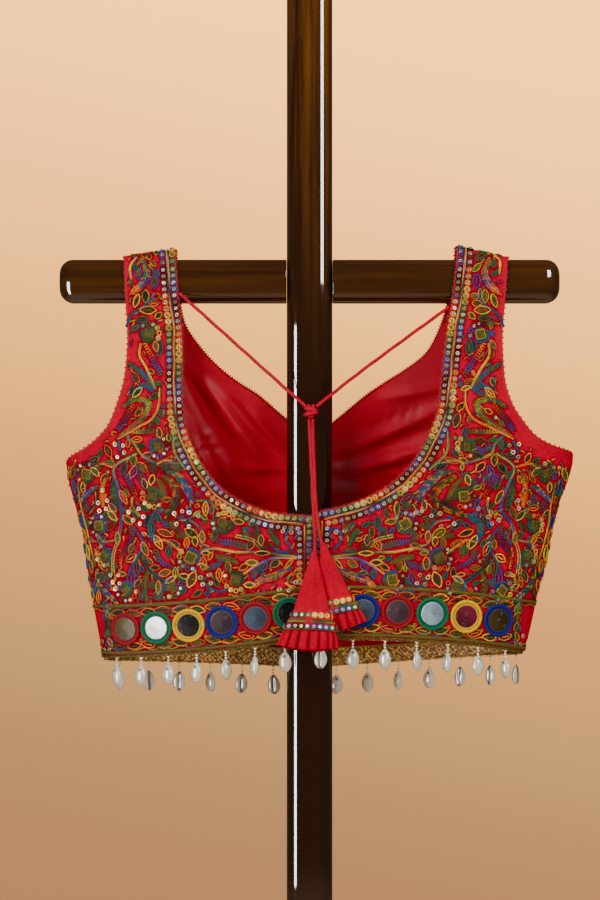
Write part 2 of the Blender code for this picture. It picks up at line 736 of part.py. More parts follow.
def oval_ring(frame, half_across, half_deep, count, pleat=0.0, sag=0.0):
    """An oval of points square to a tassel's axis. With a pleat depth, every third one is drawn in."""
    centre, across, deep, axis = frame
    ring = []
    for k in range(count):
        turn = math.tau * k / count
        drawn_in = pleat if k % RUFFLE_POINTS_EACH == 0 else 0.0
        ring.append(
            centre
            + across * ((half_across - drawn_in) * math.cos(turn))
            + deep * ((half_deep - drawn_in) * math.sin(turn))
            + axis * (sag * math.sin(turn) ** 2)
        )
    return ring


def lofted_mesh(name, rings, capped):
    """Rings of points joined one to the next, capped at both ends or closed back on the first."""
    count = len(rings[0])
    points = [p for ring in rings for p in ring]
    faces = []
    pairs = list(range(len(rings) - 1)) + ([] if capped else [len(rings) - 1])
    for ring in pairs:
        for k in range(count):
            a, b = ring * count + k, ring * count + (k + 1) % count
            following = ((ring + 1) % len(rings) - ring) * count
            faces.append((a, b, b + following, a + following))
    if capped:
        last = (len(rings) - 1) * count
        faces += [tuple(range(count)), tuple(last + k for k in range(count))]
    return mesh_from(name, points, faces)


def tassel_frame(tassel, share):
    """The centre and the three directions of a level of a tassel: 0 tip, 1 waist, 2 foot, 3 hem."""
    level = min(int(share), 2)
    centre = in_world(tassel[level][0]).lerp(in_world(tassel[level + 1][0]), share - level)
    axis = (in_world(tassel[2][0]) - in_world(tassel[0][0])).normalized()
    across = Vector((-axis.z, 0.0, axis.x)).normalized()
    return centre, across, axis.cross(across), axis


def tassel_sizes(tassel, share):
    """Half width and half depth of a tassel at a level."""
    level = min(int(share), 2)
    part = share - level
    return tuple(tassel[level][k] * (1 - part) + tassel[level + 1][k] * part for k in (1, 2))


def make_tassels(finishes):
    """Cloth cones that hang on the cord's tails, each with a pleated ruffle sewn inside its foot."""
    for side, tassel in TASSELS.items():

        def ring(share, count, inside=0.0, pleat=0.0, sag=0.0):
            half_across, half_deep = tassel_sizes(tassel, share)
            frame = tassel_frame(tassel, share)
            return oval_ring(frame, half_across - inside, half_deep - inside, count, pleat, sag)

        rings = [ring(share, TASSEL_SEGMENTS) for share in (0, 1, 2)]
        rings += [ring(share, TASSEL_SEGMENTS, TASSEL_WALL) for share in (2, 1, CONE_HOLLOW_TOP)]
        name = f"tassel_cone_{side}"
        add_mesh_object(name, lofted_mesh(name, rings, True), finishes["red_cloth"])

        waist, foot = in_world(tassel[1][0]), in_world(tassel[2][0])
        tucked = 2 - RUFFLE_TUCK / (foot - waist).length
        under = TASSEL_WALL + RUFFLE_CLEAR
        count = RUFFLE_PLEATS * RUFFLE_POINTS_EACH
        at_foot, at_out = (RUFFLE_PLEAT_DEPTH * part for part in (RUFFLE_PLEAT_AT_FOOT, RUFFLE_PLEAT_AT_OUT))
        levels = (
            (tucked, under, 0.0, 0.0),
            (2, under, at_foot, 0.0),
            (RUFFLE_OUT_LEVEL, 0.0, at_out, 0.0),
            (3, 0.0, RUFFLE_PLEAT_DEPTH, RUFFLE_SAG),
        )
        rings = [ring(level, count, inside, *pleat) for level, inside, *pleat in levels]
        rings += [ring(level, count, inside + TASSEL_WALL, *pleat) for level, inside, *pleat in levels[::-1]]
        name = f"tassel_ruffle_{side}"
        add_mesh_object(name, lofted_mesh(name, rings, False), finishes["red_cloth"], smooth=False)


# ---------------------------------------------------------------- the stand
def block_mesh(name, low, high, rounded, segments=3):
    """A box with some of its edges rounded: `rounded` gives an edge's radius, or 0, from its ends."""
    work = bmesh.new()
    bmesh.ops.create_cube(work, size=1.0)
    size = Vector(high) - Vector(low)
    bmesh.ops.scale(work, vec=size, verts=work.verts)
    bmesh.ops.translate(work, vec=(Vector(high) + Vector(low)) / 2, verts=work.verts)
    by_radius = {}
    for edge in work.edges:
        radius = rounded(*(v.co for v in edge.verts))
        if radius:
            by_radius.setdefault(radius, []).append(edge)
    for radius in sorted(by_radius, reverse=True):
        live = [e for e in by_radius[radius] if e.is_valid]
        bmesh.ops.bevel(work, geom=live, offset=radius, segments=segments, profile=0.5, affect="EDGES")
    mesh = bpy.data.meshes.new(name)
    work.to_mesh(mesh)
    work.free()
    return mesh


def make_stand(finishes):
    """A square post on a plain base, with a round-edged arm glued to each of its sides."""
    half_post, half_arm, half_base = POST_SIDE / 2, ARM_SIDE / 2, BASE_SIDE / 2
    wood = finishes["dark_wood"]

    def post_edges(a, b):
        at_foot = max(a.z, b.z) < BASE_THICK * 2
        return 0.0 if at_foot else WOOD_EDGE

    low = (-half_post, -half_post, BASE_THICK + GAP)
    high = (half_post, half_post, POST_TOP)
    add_mesh_object("stand_post", block_mesh("stand_post", low, high, post_edges), wood)

    for side, sign in SIDES.items():

        def arm_edges(a, b):
            at_post = max(abs(a.x), abs(b.x)) < POST_SIDE
            return 0.0 if at_post else WOOD_EDGE

        ends = sorted((sign * (half_post + GAP), sign * ARM_REACH))
        low = (ends[0], -half_arm, ARM_HEIGHT - half_arm)
        high = (ends[1], half_arm, ARM_HEIGHT + half_arm)
        name = f"stand_arm_{side}"
        add_mesh_object(name, block_mesh(name, low, high, arm_edges, segments=4), wood)

    def base_edges(a, b):
        upright = abs(a.z - b.z) > BASE_THICK / 2
        at_top = a.z > BASE_THICK / 2 and b.z > BASE_THICK / 2
        return BASE_CORNER if upright else (BASE_EDGE if at_top else 0.0)

    low, high = (-half_base, -half_base, 0.0), (half_base, half_base, BASE_THICK)
    add_mesh_object("stand_base", block_mesh("stand_base", low, high, base_edges), wood)


def main():
    clear_scene()
    for name in ("choli_on_stand", "cutters"):
        collection = bpy.data.collections.new(name)
        bpy.context.scene.collection.children.link(collection)
    finishes = make_finishes()
    make_stand(finishes)
    make_panels(finishes)
    make_front_lining(finishes)
    make_hem_lace(finishes)
    make_mirrors(finishes)
    make_fringe(finishes)
    make_dori(finishes)
    make_tassels(finishes)


main()
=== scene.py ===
import math

import bpy
import numpy as np
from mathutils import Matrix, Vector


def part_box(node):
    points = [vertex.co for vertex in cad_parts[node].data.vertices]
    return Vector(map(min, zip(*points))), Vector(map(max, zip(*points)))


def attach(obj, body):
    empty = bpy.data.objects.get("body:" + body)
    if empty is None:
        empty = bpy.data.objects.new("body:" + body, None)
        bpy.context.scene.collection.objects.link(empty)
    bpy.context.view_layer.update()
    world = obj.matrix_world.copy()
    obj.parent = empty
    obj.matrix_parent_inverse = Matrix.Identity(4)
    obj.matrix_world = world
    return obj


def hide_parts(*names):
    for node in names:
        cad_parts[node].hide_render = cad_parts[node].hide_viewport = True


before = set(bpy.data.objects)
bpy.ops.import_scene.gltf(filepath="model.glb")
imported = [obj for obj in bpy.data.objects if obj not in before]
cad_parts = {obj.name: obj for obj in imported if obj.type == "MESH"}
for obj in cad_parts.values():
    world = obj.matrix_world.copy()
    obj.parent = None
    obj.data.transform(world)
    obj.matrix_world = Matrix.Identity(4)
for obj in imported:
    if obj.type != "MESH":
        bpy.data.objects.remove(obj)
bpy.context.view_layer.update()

bl_info = {
    "name": "Embroidered Choli on a Cross Stand",
    "version": (1, 0, 0),
    "blender": (4, 2, 0),
    "location": "View3D > Sidebar > Choli",
    "description": "Dresses a backless choli blouse in thread work, mirrors, cowries and tassels",
    "category": "Object",
}

# ---------------------------------------------------------------- sizes of the garment, in metres
CENTRE_X = 0.003
ARM_HEIGHT = 0.748
GAP = 0.0003
SHELL_THICK = 0.0015
LINING_THICK = 0.0010
LACE_THICK = 0.0010
LACE_BELOW_HEM = 0.002
SIDES = {"left": -1, "right": 1}
FACES = {"back": -1, "front": 1}

# down, left, right
SIDE_SEAM = np.array((
    (-0.050, 0.2175, 0.2290),
    (0.156, 0.2175, 0.2290),
    (0.176, 0.2150, 0.2243),
    (0.192, 0.2108, 0.2180),
    (0.222, 0.2030, 0.2105),
    (0.240, 0.2005, 0.2073),
    (0.270, 0.1960, 0.1990),
    (0.307, 0.1893, 0.1910),
    (0.345, 0.1820, 0.1790),
))
# down, back edge, back swell, front edge, front swell
DEPTH = np.array((
    (-0.050, -0.0217, 0.000, 0.0217, 0.000),
    (0.022, -0.0217, 0.000, 0.0217, 0.000),
    (0.060, -0.0195, 0.007, 0.0205, 0.009),
    (0.100, -0.0125, 0.022, 0.0150, 0.026),
    (0.130, -0.0050, 0.035, 0.0092, 0.042),
    (0.165, 0.0040, 0.048, 0.0040, 0.056),
    (0.205, 0.0040, 0.052, 0.0040, 0.060),
    (0.250, 0.0040, 0.056, 0.0040, 0.060),
    (0.345, 0.0040, 0.060, 0.0040, 0.052),
))
CUP_X, CUP_DOWN, CUP_RISE = 0.078, 0.222, 0.020
CUP_HALF_WIDTH, CUP_HALF_HEIGHT = 0.085, 0.070
STRAP_HALF_DEPTH = 0.0217
BEND_START = -0.010
BEND_RADIUS = 0.0116
STRAP_NECK_X, STRAP_ARM_X = 0.123, 0.168
STRAP_NECK_LIFT = {"left": 0.006, "right": 0.010}

# left inner x, left inner down, left outer x, left outer down, then the same four for the right
BACK_SECTIONS = (
    (0.1215, -0.0383, 0.1660, -0.0383, 0.1270, -0.0383, 0.1712, -0.0383),
    (0.1190, -0.0100, 0.1648, -0.0100, 0.1245, -0.0100, 0.1695, -0.0100),
    (0.1177, 0.0105, 0.1640, 0.0100, 0.1220, 0.0105, 0.1682, 0.0100),
    (0.1137, 0.0480, 0.1617, 0.0500, 0.1160, 0.0470, 0.1650, 0.0500),
    (0.1133, 0.0860, 0.1640, 0.0820, 0.1115, 0.0850, 0.1664, 0.0820),
    (0.1126, 0.1120, 0.1705, 0.1065, 0.1083, 0.1110, 0.1730, 0.1065),
    (0.1090, 0.1315, 0.1780, 0.1250, 0.1020, 0.1300, 0.1838, 0.1235),
    (0.1024, 0.1487, 0.1880, 0.1370, 0.0925, 0.1485, 0.1950, 0.1360),
    (0.0931, 0.1646, 0.2010, 0.1470, 0.0810, 0.1640, 0.2100, 0.1440),
    (0.0812, 0.1791, 0.2175, 0.1600, 0.0660, 0.1775, 0.2290, 0.1522),
    (0.0665, 0.1897, None, 0.1740, 0.0500, 0.1870, None, 0.1670),
    (0.0492, 0.1975, None, 0.1880, 0.0330, 0.1940, None, 0.1820),
    (0.0310, 0.2025, None, 0.2000, 0.0165, 0.1985, None, 0.1950),
    (0.0000, 0.2048, None, 0.2120, 0.0000, 0.2012, None, 0.2080),
    (0.0000, 0.2300, None, 0.2370, 0.0000, 0.2280, None, 0.2330),
    (0.0000, 0.2700, None, 0.2820, 0.0000, 0.2690, None, 0.2780),
    (0.0000, 0.3085, None, 0.3285, 0.0000, 0.3090, None, 0.3255),
)
FRONT_SECTIONS = (
    (0.1215, -0.0383, 0.1660, -0.0383, 0.1270, -0.0383, 0.1712, -0.0383),
    (0.1200, -0.0100, 0.1648, -0.0100, 0.1245, -0.0100, 0.1695, -0.0100),
    (0.1185, 0.0105, 0.1635, 0.0100, 0.1210, 0.0105, 0.1678, 0.0100),
    (0.1145, 0.0330, 0.1600, 0.0400, 0.1150, 0.0330, 0.1635, 0.0400),
    (0.0975, 0.0595, 0.1565, 0.0660, 0.1020, 0.0600, 0.1600, 0.0660),
    (0.0815, 0.0760, 0.1570, 0.0920, 0.0820, 0.0764, 0.1605, 0.0900),
    (0.0655, 0.0880, 0.1625, 0.1150, 0.0655, 0.0868, 0.1665, 0.1110),
    (0.0490, 0.0985, 0.1715, 0.1320, 0.0490, 0.0978, 0.1775, 0.1275),
    (0.0260, 0.1180, 0.1880, 0.1475, 0.0250, 0.1175, 0.1965, 0.1425),
    (0.0000, 0.1375, 0.2175, 0.1600, 0.0000, 0.1375, 0.2290, 0.1522),
    (0.0000, 0.1530, None, 0.1750, 0.0000, 0.1530, None, 0.1690),
    (0.0000, 0.1700, None, 0.1900, 0.0000, 0.1700, None, 0.1850),
    (0.0000, 0.1950, None, 0.2090, 0.0000, 0.1950, None, 0.2050),
    (0.0000, 0.2230, None, 0.2310, 0.0000, 0.2230, None, 0.2280),
    (0.0000, 0.2540, None, 0.2580, 0.0000, 0.2540, None, 0.2550),
    (0.0000, 0.2910, None, 0.2900, 0.0000, 0.2910, None, 0.2870),
    (0.0000, 0.3410, None, 0.3315, 0.0000, 0.3410, None, 0.3262),
)
SECTIONS = {"back": BACK_SECTIONS, "front": FRONT_SECTIONS}
# distance between rows of the fine cloth, and its columns: the back shows more of its puckers
CLOTH_GRID = {"back": (0.0026, 84), "front": (0.0036, 60)}
STITCH_STEP = {"back": 0.0015, "front": 0.0021}
FILL_TRIES = {"back": 16000, "front": 5500}
LINING_GRID = (0.0026, 84)
UNDERARM_ROW = 9
NECK_ROW = {"back": 13, "front": 9}
HEM_ROW = 16
LINING_FIRST_ROW = 3
LACE_ROW = 15.80
HEM_BELLY = {"back": {"left": 0.0036, "right": -0.0050}, "front": {"left": 0.0, "right": 0.0}}
BELLY_FIRST_ROW = 13

MIRRORS_EACH, MIRROR_ABOVE_HEM = 6, 0.0230
# distance round the hem of the first from the centre, and from each to the next
MIRROR_PLACES = {
    "back": {"left": (0.0205, 0.0292), "right": (0.0126, 0.0302)},
    "front": {"left": (0.0210, 0.0303), "right": (0.0210, 0.0303)},
}
MIRROR_SEAT, MIRROR_BRIDGE = 0.0004, 0.00022
# radius of each ring, radius of its rope, how far it stands out, and whether it is painted dark all round as
# the shade in the gap between the two ropes
MIRROR_ROPES = (
    (0.01305, 0.00142, 0.0, False), (0.01045, 0.00075, 0.0004, False), (0.01155, 0.00090, 0.0, True),
)
# reach and height of the glass's rings of points, and how much brighter each is painted: the bright edge
# rings are a painted highlight
GLASS_PROFILE = ((0.0099, -0.0006), (0.0099, 0.0), (0.0094, 0.00004), (0.0090, 0.00006), (0.0001, 0.00015))
GLASS_PAINTED_HIGHLIGHT = (2.6, 2.6, 1.6, 1.0, 1.0)
RIM_CYCLE = ("rim_red", "rim_green", "rim_yellow", "rim_blue")

COWRIES_EACH = 7
COWRIE_PLACES = {
    "back": {"left": (0.0245, 0.0256), "right": (0.0064, 0.0278)},
    "front": {"left": (0.0070, 0.0284), "right": (0.0215, 0.0280)},
}
STRAND_LENGTH = {"back": 0.0085, "front": 0.0100}
BEAD_RADII, BEAD_PITCH, BARE_STRAND = (0.00110, 0.00110, 0.00100), 0.0023, 0.0012
TAPE_BELOW_HEM, TAPE_RADIUS = 0.0011, 0.0007
PIPING_RADIUS, PICOT_STEP = 0.00105, 0.0026
# how far the pattern keeps from the neck, from the top and foot of the armhole, and from the side seam
FENCE_NECK, FENCE_ARM, FENCE_SEAM = 0.0148, {"left": (0.0032, 0.0085), "right": (0.0050, 0.0130)}, 0.0030
COWRIE_LENGTH, COWRIE_HALF_WIDTH, COWRIE_HALF_DEPTH = 0.0173, 0.0058, 0.0042

DORI_RADIUS = 0.0015
# shares of the cord's radius: the core, the way out to each ply's middle, and each ply
CORE_SHARE, PLY_OUT_SHARE, PLY_SHARE = 0.62, 0.62, 0.64
PLIES, PLY_TURN = 3, 0.0052
# x from the centre line, y, down
DORI_ROUTES = {
    "dori_left": (
        (-0.11633, -0.0211, 0.0114), (-0.0900, -0.0258, 0.0352),
        (-0.0350, -0.0345, 0.0848), (-0.0068, -0.0382, 0.1100),
    ),
    "dori_right": (
        (0.11873, -0.0211, 0.0232), (0.0900, -0.0255, 0.0440),
        (0.0350, -0.0343, 0.0848), (0.0029, -0.0382, 0.1103),
    ),
    "dori_tail_left": (
        (-0.0038, -0.0386, 0.1214), (-0.0022, -0.0460, 0.1650), (-0.0006, -0.0520, 0.2030),
        (0.0003, -0.0560, 0.2200), (0.0006, -0.0580, 0.2347),
    ),
    "dori_tail_right": (
        (-0.0002, -0.0386, 0.1214), (0.0017, -0.0460, 0.1650), (0.0036, -0.0520, 0.2000),
        (0.0056, -0.0557, 0.2140), (0.0078, -0.0577, 0.2273),
    ),
}
CORD_IN_CONE = 0.85
KNOT_CENTRE = (-0.0020, -0.0385, 0.1145)
KNOT_HALF = (0.0060, 0.0048, 0.0066)
# The centre, half width and half depth of a tassel's tip, waist, foot and hem.
TASSELS = {
    "left": (
        ((0.0008, -0.0585, 0.2350), 0.0022, 0.0020),
        ((-0.0014, -0.0720, 0.2862), 0.0152, 0.0036),
        ((-0.0025, -0.0755, 0.3015), 0.0225, 0.0050),
        ((-0.0046, -0.0770, 0.3155), 0.0262, 0.0058),
    ),
    "right": (
        ((0.0080, -0.0577, 0.2276), 0.0022, 0.0020),
        ((0.0181, -0.0623, 0.2761), 0.0142, 0.0032),
        ((0.0205, -0.0630, 0.2874), 0.0200, 0.0042),
        ((0.0228, -0.0633, 0.2990), 0.0232, 0.0048),
    ),
}

# ---------------------------------------------------------------- thread colours
# name: red, green and blue as linear light
THREADS = {
    "orange": (0.90, 0.22, 0.004), "yellow": (0.95, 0.50, 0.030), "lime": (0.34, 0.40, 0.025),
    "olive": (0.105, 0.115, 0.014), "khaki": (0.19, 0.110, 0.020), "green": (0.004, 0.135, 0.040),
    "pine": (0.006, 0.055, 0.018), "teal": (0.004, 0.110, 0.115), "blue": (0.012, 0.062, 0.290),
    "navy": (0.010, 0.012, 0.080), "purple": (0.080, 0.024, 0.120), "brick": (0.160, 0.020, 0.012),
    "rust": (0.66, 0.075, 0.006), "brown": (0.100, 0.042, 0.012), "ink": (0.014, 0.010, 0.010),
}
THREADS = {name: np.array(shade) for name, shade in THREADS.items()}
RIM_THREADS = (
    "orange", "yellow", "green", "teal", "lime", "green", "rust", "blue", "orange", "pine", "teal", "orange",
    "green",
)
LEAF_THREADS = (
    "green", "teal", "pine", "olive", "blue", "lime", "rust", "orange", "orange", "green", "teal", "blue",
    "green",
)
TWIG_THREADS = ("teal", "green", "blue", "yellow", "pine", "lime")
FILL_THREADS = ("olive", "pine", "brown", "brick", "pine", "olive", "ink", "khaki")
RING_CYCLE = (
    "orange", "yellow", "yellow", "lime", "green", "green", "teal", "blue", "blue",
    "purple", "ink", "ink", "brown", "purple", "rust", "rust",
)


# ---------------------------------------------------------------- what a user may change
def length_property(name, description, default, low, high):
    """A length in metres that the panel shows."""
    return bpy.props.FloatProperty(
        name=name, description=description, default=default, min=low, max=high, unit="LENGTH", precision=5,
    )


def colour_property(name, description, default):
    """A colour that the panel shows."""
    return bpy.props.FloatVectorProperty(
        name=name, description=description, subtype="COLOR", size=3, min=0.0, max=1.0, default=default,
    )


class CholiSizes(bpy.types.PropertyGroup):
    """Sizes of the work on the cloth."""

    thread_radius: length_property(
        "Thread radius", "Half the width of one chain-stitched thread", 0.00058, 0.0002, 0.001
    )
    sequin_radius: length_property("Sequin radius", "Half the width of a loose sequin", 0.0017, 0.001, 0.004)
    ring_pitch: length_property(
        "Ring pitch", "Distance between the ringed sequins of the edging", 0.0057, 0.004, 0.010
    )
    pucker: length_property(
        "Pucker", "Height of the small puckers that the stitching draws in the cloth", 0.00032, 0.0, 0.001
    )


class CholiColours(bpy.types.PropertyGroup):
    """Colours of the cloth, the cord, the stand and the floor, as linear light."""

    cloth: colour_property("Cloth", "Red ground of the blouse", (0.430, 0.0001, 0.0195))
    satin: colour_property("Satin", "Satin lining", (0.420, 0.0003, 0.0165))
    cord: colour_property("Cord", "Neck cord and tassels", (0.420, 0.0002, 0.0185))
    wood: colour_property("Wood", "Darkest part of the stand's wood", (0.0150, 0.0038, 0.0005))
    floor: colour_property("Floor", "Pale floor under the stand", (0.600, 0.430, 0.290))


# ---------------------------------------------------------------- curves through tables
def through(places, values, at):
    """A smooth curve through (places, values) that never overshoots them, read at each of `at`."""
    places, values = np.asarray(places, float), np.asarray(values, float)
    step, slope = np.diff(places), np.diff(values) / np.diff(places)
    tangent = np.zeros(len(places))
    same_way = slope[:-1] * slope[1:] > 0
    pairs = 2 * slope[:-1] * slope[1:] / np.where(same_way, slope[:-1] + slope[1:], 1)
    tangent[1:-1] = np.where(same_way, pairs, 0)
    tangent[0], tangent[-1] = slope[0], slope[-1]
    at = np.clip(np.asarray(at, float), places[0], places[-1])
    i = np.clip(np.searchsorted(places, at, side="right") - 1, 0, len(step) - 1)
    t = (at - places[i]) / step[i]
    return (
        (2 * t**3 - 3 * t**2 + 1) * values[i]
        + (t**3 - 2 * t**2 + t) * step[i] * tangent[i]
        + (3 * t**2 - 2 * t**3) * values[i + 1]
        + (t**3 - t**2) * step[i] * tangent[i + 1]
    )


def unit(way):
    """The same direction, or directions, at length 1."""
    return way / np.linalg.norm(way, axis=-1, keepdims=True)


def heading(angle):
    """The flat direction at an angle."""
    return np.array([math.cos(angle), math.sin(angle)])


def circle(turn):
    """Points round a circle of radius 1."""
    return np.stack([np.cos(turn), np.sin(turn)], 1)


def run_and_out(line):
    """Directions along a flat line and square to it, at each of its points."""
    run = unit(np.gradient(line, axis=0))
    return run, np.stack([run[:, 1], -run[:, 0]], 1)


def length_along(line):
    """How far along a line each of its points is."""
    return np.concatenate([[0.0], np.cumsum(np.linalg.norm(np.diff(line, axis=0), axis=1))])


def smooth_step(share):
    """0 to 1 with a level start and end."""
    share = np.clip(share, 0.0, 1.0)
    return share * share * (3 - 2 * share)


def curve_through(points, step):
    """Points about a step apart on a rounded curve through some points of a plane or of space."""
    points = np.asarray(points, float)
    if len(points) == 2:
        count = max(2, int(np.linalg.norm(points[1] - points[0]) / step) + 1)
        share = np.linspace(0, 1, count)[:, None]
        return points[0] * (1 - share) + points[1] * share
    ends = np.vstack([2 * points[0] - points[1], points, 2 * points[-1] - points[-2]])
    parts = []
    for a, b, c, d in zip(ends, ends[1:], ends[2:], ends[3:]):
        t = np.linspace(0, 1, 12, endpoint=False)[:, None]
        parts.append(
            0.5 * (2 * b + (c - a) * t + (2 * a - 5 * b + 4 * c - d) * t**2 + (3 * b - a - 3 * c + d) * t**3)
        )
    fine = np.vstack([*parts, points[-1:]])
    return even_steps(fine, step)


def even_steps(line, step):
    """The same line with its points an even step apart."""
    lengths = length_along(line)
    count = max(2, round(lengths[-1] / step) + 1)
    at = np.linspace(0, lengths[-1], count)
    return np.stack([np.interp(at, lengths, line[:, k]) for k in range(line.shape[1])], axis=1)


# ---------------------------------------------------------------- the cloth's surface
TURN_STEP, TURNS_BEFORE_CENTRE = math.pi / 120, 10
TURNS = np.arange(-TURNS_BEFORE_CENTRE, 74) * TURN_STEP
CELL = 0.001
# rows and columns of the cells that note where work lies on a panel, and the height of their top
CELL_ROWS, CELL_COLUMNS, CELLS_ABOVE = 400, 300, 0.045


def half_width(side, down):
    """From the centre line to the side seam, at some distances down."""
    return through(SIDE_SEAM[:, 0], SIDE_SEAM[:, 1 if side == "left" else 2], down)


def edge_and_swell(face, down):
    """y of the side seam, and how far the middle of the panel stands out from it."""
    first = 1 if face == "back" else 3
    return through(DEPTH[:, 0], DEPTH[:, first], down), through(DEPTH[:, 0], DEPTH[:, first + 1], down)


def arc_table(face, side, down):
    """Distance round the body's oval section at each of TURNS, a row for each level."""
    width, swell = half_width(side, down)[:, None], edge_and_swell(face, down)[1][:, None]
    middle = (TURNS[1:] + TURNS[:-1]) / 2
    pieces = np.hypot(width * np.cos(middle), swell * np.sin(middle)) * TURN_STEP
    lengths = np.concatenate([np.zeros((len(width), 1)), np.cumsum(pieces, axis=1)], axis=1)
    return lengths - lengths[:, TURNS_BEFORE_CENTRE, None]


def across_of(face, side, turn, down):
    """How far round the body some turns of its oval section reach."""
    turn, down = np.broadcast_arrays(np.asarray(turn, float), np.asarray(down, float))
    lengths = arc_table(face, side, down.ravel())
    place = (turn.ravel() - TURNS[0]) / TURN_STEP
    i = np.clip(place.astype(int), 0, len(TURNS) - 2)
    rows = np.arange(len(i))
    found = lengths[rows, i] + (lengths[rows, i + 1] - lengths[rows, i]) * (place - i)
    return found.reshape(turn.shape)


def across_at(face, side, x, down):
    """The distance round the body of a place that is seen x from its centre line."""
    down = np.maximum(down, BEND_START)
    return across_of(face, side, np.arcsin(np.clip(x / half_width(side, down), -0.2, 1.0)), down)


class BodyMap:
    """x and y of the cloth over a fine grid of places across and down one panel."""

    def __init__(self, face, side):
        self.face, self.side = face, side
        self.downs = np.arange(BEND_START, 0.352, CELL)
        self.acrosses = np.arange(-0.024, 0.278, CELL)
        width, (edge, swell) = half_width(side, self.downs), edge_and_swell(face, self.downs)
        lengths = arc_table(face, side, self.downs)
        turns = np.array([np.interp(self.acrosses, row, TURNS) for row in lengths])
        self.x = width[:, None] * np.sin(turns)
        self.y = edge[:, None] + FACES[face] * swell[:, None] * np.cos(turns)
        if face == "front":
            rise = (self.downs[:, None] - CUP_DOWN) / CUP_HALF_HEIGHT
            reach = np.hypot((self.x - CUP_X) / CUP_HALF_WIDTH, rise)
            self.y = self.y + CUP_RISE * (1 - smooth_step(reach))

    def read(self, across, down):
        """x and y at some places at or below the strap's bend."""
        column = np.clip((across - self.acrosses[0]) / CELL, 0, len(self.acrosses) - 1.001)
        row = np.clip((down - self.downs[0]) / CELL, 0, len(self.downs) - 1.001)
        i, j = row.astype(int), column.astype(int)
        u, v = row - i, column - j
        return tuple(
            (grid[i, j] * (1 - v) + grid[i, j + 1] * v) * (1 - u)
            + (grid[i + 1, j] * (1 - v) + grid[i + 1, j + 1] * v) * u
            for grid in (self.x, self.y)
        )

    def points(self, across, down):
        """Points of the cloth's outer face."""
        across, down = np.broadcast_arrays(np.asarray(across, float), np.asarray(down, float))
        x, y = self.read(across, down)
        height = -down
        past = BEND_START - down
        turn = np.minimum(np.maximum(past, 0) / BEND_RADIUS, math.pi / 2)
        level = past - turn * BEND_RADIUS
        depth = STRAP_HALF_DEPTH - BEND_RADIUS * (1 - np.cos(turn)) - level
        share = np.clip((STRAP_ARM_X - across) / (STRAP_ARM_X - STRAP_NECK_X), 0, 1.15)
        risen = -BEND_START + BEND_RADIUS * np.sin(turn)
        risen = risen + STRAP_NECK_LIFT[self.side] * share * smooth_step(turn / (math.pi / 2))
        over = past > 0
        x = np.where(over, across, x)
        y = np.where(over, FACES[self.face] * depth, y)
        height = np.where(over, risen, height)
        return np.stack([CENTRE_X + SIDES[self.side] * x, y, ARM_HEIGHT + height], axis=-1)

    def normals(self, across, down):
        """Outward directions square to the cloth."""
        step = 0.0006
        run = self.points(across + step, down) - self.points(across - step, down)
        fall = self.points(across, down - step) - self.points(across, down + step)
        return unit(np.cross(run, fall) * (-FACES[self.face] * SIDES[self.side]))

    def lifted(self, across, down, lift):
        """Points at a distance from the outer face: positive outside, negative within."""
        across, down = np.broadcast_arrays(np.asarray(across, float), np.asarray(down, float))
        return self.points(across, down) + self.normals(across, down) * np.asarray(lift)[..., None]


MAPS = {(face, side): BodyMap(face, side) for face in FACES for side in SIDES}


def section_end(face, side, end, rows):
    """Turns and downs of the sections' inner (0) or outer (2) ends."""
    column = end + (0 if side == "left" else 4)
    corner = NECK_ROW[face] if end == 0 else UNDERARM_ROW
    table = SECTIONS[face]
    turns, downs = np.zeros(len(rows)), np.zeros(len(rows))
    for first, last in ((0, corner), (corner, HEM_ROW)):
        at = np.arange(first, last + 1)
        down = np.array([table[r][column + 1] for r in at])
        width = half_width(side, down)
        x = np.array([width[k] if table[r][column] is None else table[r][column] for k, r in enumerate(at)])
        here = (rows >= first) & (rows <= last)
        turns[here] = through(at, np.arcsin(np.minimum(x / width, 1.0)), rows[here])
        downs[here] = through(at, down, rows[here])
    return turns, downs


def fine_rows(first, step):
    """Row values from a section of the table to the hem, so that the cloth's rows lie about a step apart."""
    rows = []
    for row in range(first, HEM_ROW):
        fall = max(BACK_SECTIONS[row + 1][3] - BACK_SECTIONS[row][3], 0.010)
        rows += list(np.linspace(row, row + 1, math.ceil(fall / step), endpoint=False))
    return np.array([*rows, HEM_ROW], float)


def belly(face, side, row, share):
    """How much lower the cloth hangs between a section's ends than straight from one to the other."""
    full = np.clip((row - BELLY_FIRST_ROW) / (HEM_ROW - BELLY_FIRST_ROW), 0, 1)
    return HEM_BELLY[face][side] * full * np.sin(math.pi * share)


def panel_places(face, side, rows, columns, inset=0.0):
    """(across, down) over a panel: rows of places that follow its sections."""
    rows = np.asarray(rows, float)
    inner, inner_down = section_end(face, side, 0, rows)
    outer, outer_down = section_end(face, side, 2, rows)
    share = np.linspace(0, 1, columns)
    turns = inner[:, None] + (outer - inner)[:, None] * share
    middle = np.broadcast_to(((inner_down + outer_down) / 2)[:, None], turns.shape)
    lengths = across_of(face, side, turns, middle)
    part = (lengths - lengths[:, :1]) / (lengths[:, -1:] - lengths[:, :1])
    down = inner_down[:, None] + (outer_down - inner_down)[:, None] * part
    down += belly(face, side, rows[:, None], part)
    across = across_of(face, side, turns, down) + (GAP / 2 + inset) * (1 - 2 * share)
    return across, down


def hem_down(face, side, across):
    """How far down the hem lies at a distance round it."""
    _, centre = section_end(face, side, 0, np.array([HEM_ROW]))
    _, seam = section_end(face, side, 2, np.array([HEM_ROW]))
    whole = across_of(face, side, math.pi / 2, (centre + seam) / 2)
    share = across / whole
    return centre + (seam - centre) * share + belly(face, side, HEM_ROW, share)


def hem_at(face, side, across):
    """How far down the hem lies at one distance round it, as a plain number."""
    return float(hem_down(face, side, np.array([across]))[0])


BAND_HEIGHT = 0.0432


